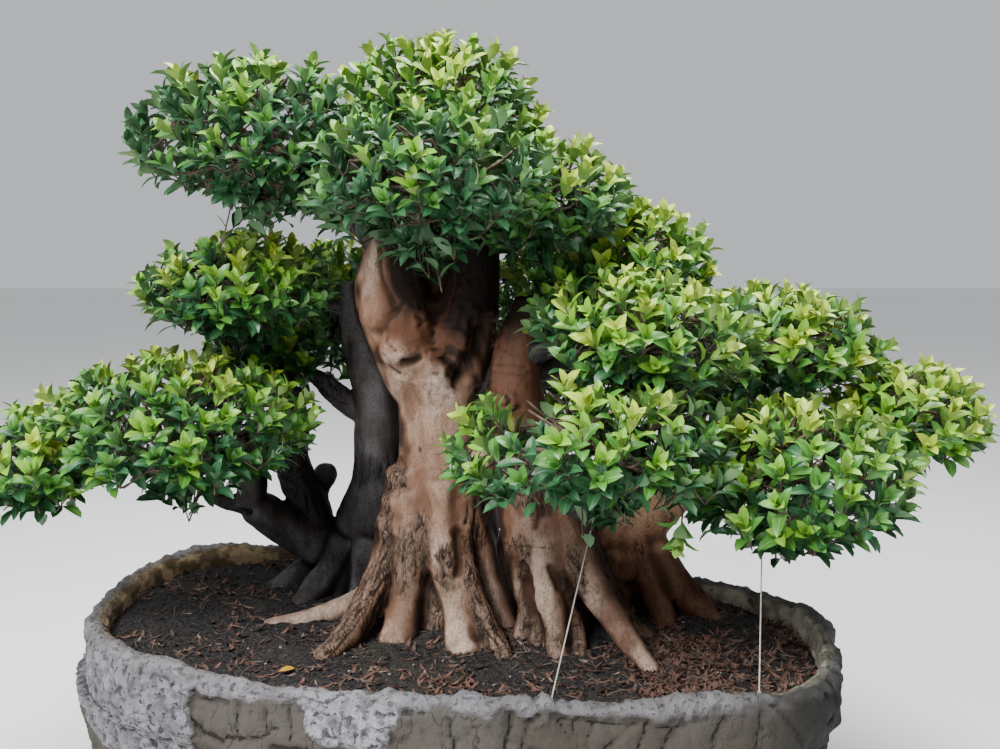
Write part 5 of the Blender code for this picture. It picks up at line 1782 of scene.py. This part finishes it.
def section_rows(section, step):
    """The section in even steps: height, inset and roughness of each row."""
    rows = [section[0]]
    for start, end in zip(section, section[1:]):
        length = math.dist(start[:2], end[:2])
        count = max(1, round(length / step))
        for index in range(1, count + 1):
            share = index / count
            rows.append(tuple(a + (b - a) * share for a, b in zip(start, end)))
    return rows


def grid_solid(name, rows):
    """A closed solid from rows of points round an upright axis, lowest row first."""
    rows = numpy.array(rows)
    count, columns = rows.shape[:2]
    index = numpy.arange(count * columns).reshape(count, columns)
    ahead = numpy.roll(index, -1, axis=1)
    quads = numpy.stack([index[:-1], ahead[:-1], ahead[1:], index[1:]], axis=-1).reshape(-1, 4)
    faces = quads.tolist() + [index[0][::-1].tolist(), index[-1].tolist()]
    mesh = bpy.data.meshes.new(name)
    mesh.from_pydata(rows.reshape(-1, 3).tolist(), [], faces)
    return mesh


def make_pot():
    columns = round(POT_AROUND / ROCK_GRAIN)
    turns, runs, around = even_turns(columns)
    rows = []
    for level, inset, roughness in section_rows(POT_SECTION, ROCK_GRAIN):
        full = numpy.full(columns, level)
        points = pot_outline(turns, numpy.full(columns, inset), full, roughness)
        if level > RIM_WAVE_LEVEL:
            for count, phase, height in RIM_WAVES:
                points[:, 2] += height * numpy.sin(count * turns + phase)
        rows.append(points)
    mesh = grid_solid("rock_pot", rows)
    carve_rock(mesh, numpy.tile(runs, len(rows)), around)
    mesh.shade_smooth()
    finish_piece(link_object("rock_pot", mesh), "rock", "pot", materials=[rock_finish()])


def stucco_cover(places, front, inside):
    """1 on the stucco of the pot's upper outside, down to its ragged edge, and 0 elsewhere."""
    wander = 0.014 * rough_noise(places, 24, 4, 18)
    edge_front = numpy.interp(places[:, 0] + wander, *zip(*STUCCO_EDGE))
    edge_back = 0.36 + 0.09 * soft_noise(places, (4, 4, 0), 3)
    edge = numpy.where(front, edge_front, edge_back)
    ragged = 0.016 * rough_noise(places, 22, 3, 4)
    return smooth_step(places[:, 2] + ragged - edge, -0.004, 0.006) * (1 - inside)


def block_borders(places, front, runs, around):
    """Distance to the border between blocks, and a random number for each block."""
    warp = 0.030 * soft_noise(places, 9, 5) + 0.012 * soft_noise(places, 30, 6)
    turn = 2 * math.pi * runs / around
    wrapped = numpy.column_stack([
        numpy.cos(turn) * around / (2 * math.pi) + warp,
        numpy.sin(turn) * around / (2 * math.pi) - warp,
        places[:, 2] + warp,
    ])
    borders, marks = cells(wrapped, BLOCKS_PER_METRE, 2)
    broken = smooth_step(soft_noise(places, 5, 7) + 0.9 * places[:, 0], -0.30, 0.15)
    borders = borders + 0.5 * (1 - broken)
    drawn = smooth_step(numpy.abs(places[:, 0]), 0.62, 0.70)
    return numpy.where(front, borders + (1 - drawn), borders), marks


def crack_gaps(places, front, seen):
    """How far each place lies from the drawn cracks and from the painted shadows under the course: 0 in one,
    1 beyond their reach.
    """
    gaps = numpy.min([front_gap(seen, line) for line in ROCK_CRACKS], axis=0)
    clefts = numpy.min([front_gap(seen, line) for line in ROCK_CLEFTS], axis=0) / CLEFT_WIDTH
    gaps = numpy.minimum(gaps, clefts)
    return numpy.where(front & (places[:, 2] < RIM_TOP), gaps / CRACK_REACH, 1.0).clip(0.0, 1.0)


def block_relief(borders, marks, gaps):
    """Blocks that bulge and stand out by their marks, with grooves between them."""
    grooves = numpy.maximum(1 - smooth_step(borders, 0.0, 0.12), 0.8 - 2.4 * gaps)
    bulge = numpy.minimum(numpy.minimum(borders, 0.45) / 0.45, 0.3 + 0.7 * gaps)
    return BLOCK_BULGE * bulge + BLOCK_STEP * marks - BLOCK_INSET - BLOCK_GROOVE * grooves


def stucco_relief(places):
    """Lumps, knobs and pits of the stucco."""
    lumps = rough_noise(places, 42, 4, 9)
    pits = smooth_step(soft_noise(places, 62, 10), 0.28, 0.62)
    pits *= smooth_step(soft_noise(places, 8, 11), -0.1, 0.3)
    knobs = rough_noise(places, 30, 3, 16)
    return STUCCO_COAT + STUCCO_LUMPS * lumps + STUCCO_KNOBS * knobs - STUCCO_PITS * pits


def pebble_relief(seen):
    """The pebble set in the rim and the moat round it."""
    across, height, radius = ROCK_PEBBLE
    apart = numpy.linalg.norm(seen - (across, height), axis=1) / radius
    return numpy.exp(-apart ** 2) - 0.4 * numpy.exp(-((apart - 1.5) / 0.4) ** 2)


def carve_rock(mesh, runs, around):
    """Stucco over cracked blocks, with pits and a ragged rim."""
    places = coordinates(mesh)
    outward = normals(mesh)
    ends = edge_ends(mesh)
    front = places[:, 1] < -POT_SLEW * places[:, 0]
    inside = smooth_step(-(outward[:, :2] * places[:, :2]).sum(axis=1), 0.05, 0.2)
    stucco = stucco_cover(places, front, inside)
    bare = 1 - stucco
    tremble = numpy.stack([rough_noise(places, 34, 3, turn) for turn in (13, 14)], axis=1)
    seen = places[:, (0, 2)] + CRACK_TREMBLE * tremble
    gaps = crack_gaps(places, front, seen)
    borders, marks = block_borders(places, front, runs, around)
    flaked = smooth_step(places[:, 0], *FLAKED[0]) * (1 - smooth_step(places[:, 0], *FLAKED[1])) * front

    relief = bare * block_relief(borders, marks, gaps)
    relief += ROCK_ROUGHNESS * rough_noise(places, (16, 16, 34), 4, 8) * (1 - 0.4 * stucco)
    relief += stucco * stucco_relief(places)
    relief += stucco * flaked * FLAKE_DEPTH * rough_noise(places, 70, 2, 17)
    relief += BLOCK_GRAIN * rough_noise(places, 60, 3, 12) * bare
    strata = smooth_step(numpy.abs(places[:, 0]), 0.45, 0.65)
    relief += STRATA_DEPTH * strata * bare * soft_noise(places, (26, 26, 5), 15)
    relief += PEBBLE_HEIGHT * front * pebble_relief(seen)
    relief *= smooth_step(places[:, 2], 0.004, 0.03) * (1 - 0.55 * inside)
    crumbled = smooth_step(places[:, 2], 0.415, 0.440) * rough_noise(places, 16, 4, 19)
    moved = places + outward * relief[:, None] + crumbled[:, None] * (0, 0, RIM_CRUMBLE)
    put_coordinates(mesh, moved)
    put_attribute(mesh, "stucco", stucco)
    put_attribute(mesh, "borders", borders + stucco + inside)
    # The cracks attribute also carries the painted shadows under the course
    put_attribute(mesh, "cracks", gaps + 0.5 * stucco)
    put_attribute(mesh, "blocks", marks * 0.5 + 0.5)
    put_attribute(mesh, "inside", inside)
    put_attribute(mesh, "flaked", flaked)
    put_attribute(mesh, "hollow", hollowness(mesh, ends, *ROCK_HOLLOW_TEST))


def rock_finish():
    """Grey-lilac stucco above tan and olive blocks with dark cracks, with painted shade in its hollows,
    pores and specks and under the course of blocks, and painted highlights on the stucco's ridges.
    """
    finish = Finish("weathered_rock", specular_ior_level=0.25)
    stucco, hollow, borders, blocks, inside, flaked, cracked = finish.attributes(
        "stucco", "hollow", "borders", "blocks", "inside", "flaked", "cracks")
    broad = finish.clouds(4.0, 4.0)
    medium = finish.clouds(22.0, 5.0)
    fine = finish.clouds(120.0, 6.0)
    streaks = finish.clouds(26.0, 5.0, stretch=(1.0, 1.0, 0.22))
    across = finish.place.part("X")
    height = finish.place.part("Z")
    coarse = finish.clouds(60.0, 6.0, 0.68)
    tones = ROCK_TONES
    pale = medium.band(0.35, 0.62).mix(*tones["stucco"])
    # Painted shade: dark specks of shade in the rough stucco
    pale = (coarse.band(0.48, 0.60) * 0.75).mix(pale, tones["stucco_shade_specks"])
    pale = (flaked * coarse.band(0.55, 0.42) * 0.8).mix(pale, tones["flakes"])
    tan = blocks.mix(*tones["blocks"])
    tan = (medium.band(0.45, 0.68) * 0.6).mix(tan, tones["olive"])
    tan = (broad.band(0.48, 0.64) * 0.5).mix(tan, tones["grey"])
    tan = (coarse.band(0.52, 0.64) * 0.40).mix(tan, tones["block_specks"])
    # Pores in the stucco, painted dark as shade
    shaded_pores = finish.clouds(88.0, 2.0, 0.4).band(0.60, 0.66) * stucco
    pale = (shaded_pores * 0.85).mix(pale, tones["shaded_pores"])
    colour = stucco.mix(tan, pale)
    colour = (streaks.band(0.50, 0.70) * 0.45).mix(colour, tones["streaks"])
    # Darker towards the pot's right end, and near black at that end
    rightward = across + 0.25 * (broad - 0.5)
    colour = (rightward.band(-0.05, 0.40) * 0.30).mix(colour, tones["darker_right"])
    colour = (rightward.band(0.44, 0.70) * 0.90).mix(colour, tones["near_black"])
    colour = ((height + 0.05 * medium).band(0.440, 0.462) * 0.35).mix(colour, tones["worn_rim"])
    lichen = medium.band(0.40, 0.62).mix(*tones["lichen"])
    ochre = medium.band(0.42, 0.60).mix(*tones["ochre"])
    colour = inside.mix(colour, across.band(-0.45, 0.0).mix(ochre, lichen))
    # Painted shade in the rock's hollows and a painted highlight on the stucco's ridges
    colour = (hollow.band(0.55, 0.92) * 0.75).mix(colour, tones["hollows"])
    colour = (hollow.band(0.42, 0.10) * 0.22 * stucco).mix(colour, tones["ridges"])
    uneven = 0.16 * (fine - 0.5) + 0.20 * (medium - 0.5)
    cracks = cracked + uneven
    seams = borders + 0.6 * uneven
    # Dark cracks, and painted shadow along the clefts under the course
    colour = (cracks.band(0.26, 0.04) * 0.50).mix(colour, tones["crack_edges_and_cleft_shadow"])
    colour = (cracks.band(0.09, 0.04) * 0.90).mix(colour, tones["cracks"])
    colour = (seams.band(0.045, 0.020) * 0.85).mix(colour, tones["seams"])
    slits = finish.folds(12.0, stretch=(1.3, 1.3, 0.7)) + 0.03 * (1.0 - blocks) + stucco
    colour = (slits.band(0.016, 0.006) * 0.70).mix(colour, tones["slits"])
    depth = fine + finish.clouds(420.0, 3.0) * 0.4 + 1.4 * cracks.band(0.02, 0.10)
    depth = depth + stucco * coarse * 2.4 + seams.band(0.02, 0.07) + slits.band(0.004, 0.03) * 0.5
    depth = depth - shaded_pores * 1.6
    finish.set(base_color=colour, roughness=0.85, normal=finish.bump(depth, 0.0036, 1.0))
    return finish.material


# Soil and litter


def make_soil():
    """The soil and, as a second object that has no finish, the ground that litter falls on."""
    turns, _, _ = even_turns(SOIL_COLUMNS)
    rim, foot = (
        pot_outline(turns, numpy.full(SOIL_COLUMNS, POT_WALL + inset), numpy.full(SOIL_COLUMNS, level), 0.0)
        for inset, level in ((SOIL_GAP, SOIL_LEVEL), (SOIL_TAPER, POT_FLOOR)))
    middle = rim.mean(axis=0)
    rings = [middle + (rim - middle) * (1 - ring / SOIL_RINGS) for ring in range(SOIL_RINGS)]
    mesh = grid_solid("dark_soil", [foot, *rings])
    places = coordinates(mesh)
    top = places[:, 2] > SOIL_LEVEL - 0.001
    mound = numpy.zeros(len(places))
    for stations in (TRUNK, STEM_RIGHT, STEM_REAR_RIGHT, STEM_REAR_LEFT):
        x, y, _, radius = stations[0]
        apart = numpy.hypot(places[:, 0] - x, places[:, 1] - y)
        mound = numpy.maximum(mound, numpy.exp(-((apart / (radius * MOUND_REACH)) ** 2)))
    lumps = rough_noise(places, 9, 3, 11) * SOIL_LUMPS + rough_noise(places, 55, 3, 12) * SOIL_CRUMBS
    places[:, 2] += top * (SOIL_RISE + lumps + MOUND_HEIGHT * mound)
    put_coordinates(mesh, places)
    mesh.shade_smooth()
    ground = link_object("fallen_litter", mesh.copy())
    finish_piece(link_object("dark_soil", mesh), "soil", "soil", materials=[soil_finish()])
    return ground


def soil_finish():
    finish = Finish("dark_soil", specular_ior_level=0.2)
    broad = finish.clouds(5.0, 4.0)
    fine = finish.clouds(130.0, 5.0)
    colour = fine.band(0.35, 0.62).mix(*SOIL_TONES)
    colour = (broad.band(0.50, 0.62) * 0.4).mix(colour, SOIL_PATCHES)
    colour = (finish.clouds(300.0, 2.0).band(0.60, 0.68) * 0.5).mix(colour, SOIL_GRIT)
    finish.set(
        base_color=colour,
        roughness=0.9,
        normal=finish.bump(fine + finish.clouds(380.0, 4.0), 0.004, 1.0),
    )
    return finish.material


def dry_leaf_shape():
    """A curled dry leaf: its upper skin and its lower one."""
    shape = bmesh.new()
    for lift in (0.0, -DRY_LEAF_THICKNESS):
        grid = []
        for share, half in DRY_LEAF_ROWS:
            curl = DRY_LEAF_CURL * (share - 0.45) ** 2
            grid.append([
                shape.verts.new((share - 0.5, side * half, curl + lift + DRY_LEAF_TROUGH * abs(side) * half))
                for side in (-1.0, 0.0, 1.0)])
        for low, high in zip(grid, grid[1:]):
            for side in range(2):
                corners = (low[side], high[side], high[side + 1], low[side + 1])
                shape.faces.new(corners if lift < 0 else corners[::-1])
    return shape


def twiglet_shape():
    shape = bmesh.new()
    bmesh.ops.create_cone(shape, segments=5, radius1=0.030, radius2=0.020, depth=1.0, cap_ends=True)
    bmesh.ops.rotate(shape, verts=shape.verts, matrix=Matrix.Rotation(math.pi / 2, 3, "Y"))
    for vert in shape.verts:
        vert.co.z += 0.03 + 0.10 * vert.co.x ** 2
    return shape


def crumb_shape():
    shape = bmesh.new()
    bmesh.ops.create_icosphere(shape, subdivisions=1, radius=0.5)
    for vert in shape.verts:
        vert.co *= 1 + 0.35 * noise.noise(vert.co * 3)
    return shape


def litter_parts():
    """A dry leaf, a twiglet and a crumb, each one unit long and lying flat at the origin."""
    shapes = {"dry_leaf": dry_leaf_shape(), "twiglet": twiglet_shape(), "crumb": crumb_shape()}
    return {name: object_of(shape, name) for name, shape in shapes.items()}


def litter_tree(item, seed):
    """Scatters one kind of litter over the top of the soil."""
    tree, (ground, density, smallest, largest, finish) = geometry_tree("scattered_litter", {
        "Density": "NodeSocketFloat", "Smallest": "NodeSocketFloat", "Largest": "NodeSocketFloat",
        "Finish": "NodeSocketMaterial",
    })
    place = ground.node("GeometryNodeInputPosition")
    up = ground.node("GeometryNodeInputNormal").part("Z")
    across = place.part("X")
    drift = ground.node("ShaderNodeTexNoise", {"Vector": place, "Scale": 4.0})
    wanted = up.maths("GREATER_THAN", up, 0.3) * density * drift.band(0.35, 0.62)
    left, right = LITTER_SHARES
    wanted = wanted * (left + right * across.band(-0.10, 0.40))
    spread = tree.nodes.new("GeometryNodeDistributePointsOnFaces")
    spread.inputs["Seed"].default_value = seed
    tree.links.new(ground.socket, spread.inputs["Mesh"])
    tree.links.new(wanted.socket, spread.inputs["Density"])
    least, most = (-LITTER_TILT, -LITTER_TILT, 0.0), (LITTER_TILT, LITTER_TILT, 2 * math.pi)
    spin = ground.node(
        "FunctionNodeRandomValue", {0: least, 1: most, "Seed": seed + 1}, data_type="FLOAT_VECTOR")
    size = ground.node(
        "FunctionNodeRandomValue", {2: smallest, 3: largest, "Seed": seed + 2},
        output=1, data_type="FLOAT")
    shape = ground.node("GeometryNodeObjectInfo", {"Object": item}, output="Geometry")
    placed = ground.node("GeometryNodeInstanceOnPoints", {
        "Points": Wire(tree, spread.outputs["Points"]), "Instance": shape,
        "Rotation": spin, "Scale": size,
    })
    real = ground.node("GeometryNodeRealizeInstances", {"Geometry": placed})
    dressed = ground.node("GeometryNodeSetMaterial", {"Geometry": real, "Material": finish})
    end_tree(tree, dressed.socket)
    return tree


def litter_finish(name, colour):
    finish = Finish(name, roughness=0.8, specular_ior_level=0.25)
    finish.set(base_color=finish.clouds(35.0, 3.0).band(0.35, 0.65).mix(times(colour, 0.55), colour))
    return finish.material


def make_litter(ground):
    parts = litter_parts()
    for number, (part, name, colour, density, smallest, largest) in enumerate(LITTER):
        tree = litter_tree(parts[part], SEEDS_PER_LITTER * number)
        made = run_tree(link_object(name, ground.data), tree, {
            "Density": float(density), "Smallest": smallest, "Largest": largest,
            "Finish": litter_finish(name, colour),
        })
        finish_piece(made, "soil")
    discard(ground, *parts.values())


# Training strings


def make_ties():
    """Each string is twisted from strands between the knots of its solid."""
    finish = Finish("pale_string", roughness=0.75, specular_ior_level=0.2)
    fibres = finish.clouds(900.0, 3.0)
    finish.set(
        base_color=fibres.band(0.4, 0.65).mix(*STRING_TONES),
        normal=finish.bump(fibres, 0.0005, 0.6),
    )
    for name in ("tie_front", "tie_right"):
        points = coordinates(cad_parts[name].data)
        high = Vector(points[points[:, 2] > points[:, 2].max() - 2 * KNOT_RADIUS].mean(axis=0))
        low = Vector(points[points[:, 2] < points[:, 2].min() + 2 * KNOT_RADIUS].mean(axis=0))
        make_string(name, low, high, finish.material)


def make_string(name, low, high, material):
    """Twisted strands between two knots of three loops each."""
    along = (high - low).normalized()
    side = along.orthogonal().normalized()
    other = along.cross(side)
    length = (high - low).length
    steps = round(length / TIE_PITCH * TIE_STEPS_PER_TURN)
    paths = []
    for strand in range(TIE_STRANDS):
        path = []
        for step in range(steps + 1):
            run = length * step / steps
            turn = 2 * math.pi * (run / TIE_PITCH + strand / TIE_STRANDS)
            place = low + along * run + turned(side, other, turn) * TIE_RADIUS * STRAND_SHARE
            path.append((place, 1.0))
        paths.append(path)
    for knot in (low, high):
        path = []
        for step in range(KNOT_STEPS + 1):
            turn = 2 * math.pi * step / KNOT_STEPS_PER_TURN
            lift = along * (math.sin(turn * 0.5) * KNOT_RADIUS * KNOT_LIFT)
            place = knot + lift + turned(side, other, turn) * KNOT_RADIUS * KNOT_SPREAD
            path.append((place, 1.0))
        paths.append(path)
    item = round_wires(f"{name}_string", paths, TIE_RADIUS * STRAND_SHARE, 1)
    finish_piece(item, "string", name, materials=[material])


def main():
    place_camera()
    light_scene()
    make_floor()
    foliage = Foliage()
    bough_paths = {mass: bough_path(foliage, mass) for mass in BOUGHS}
    make_wood(bough_paths)
    make_foliage(foliage, bough_paths)
    make_pot()
    make_litter(make_soil())
    make_ties()


main()
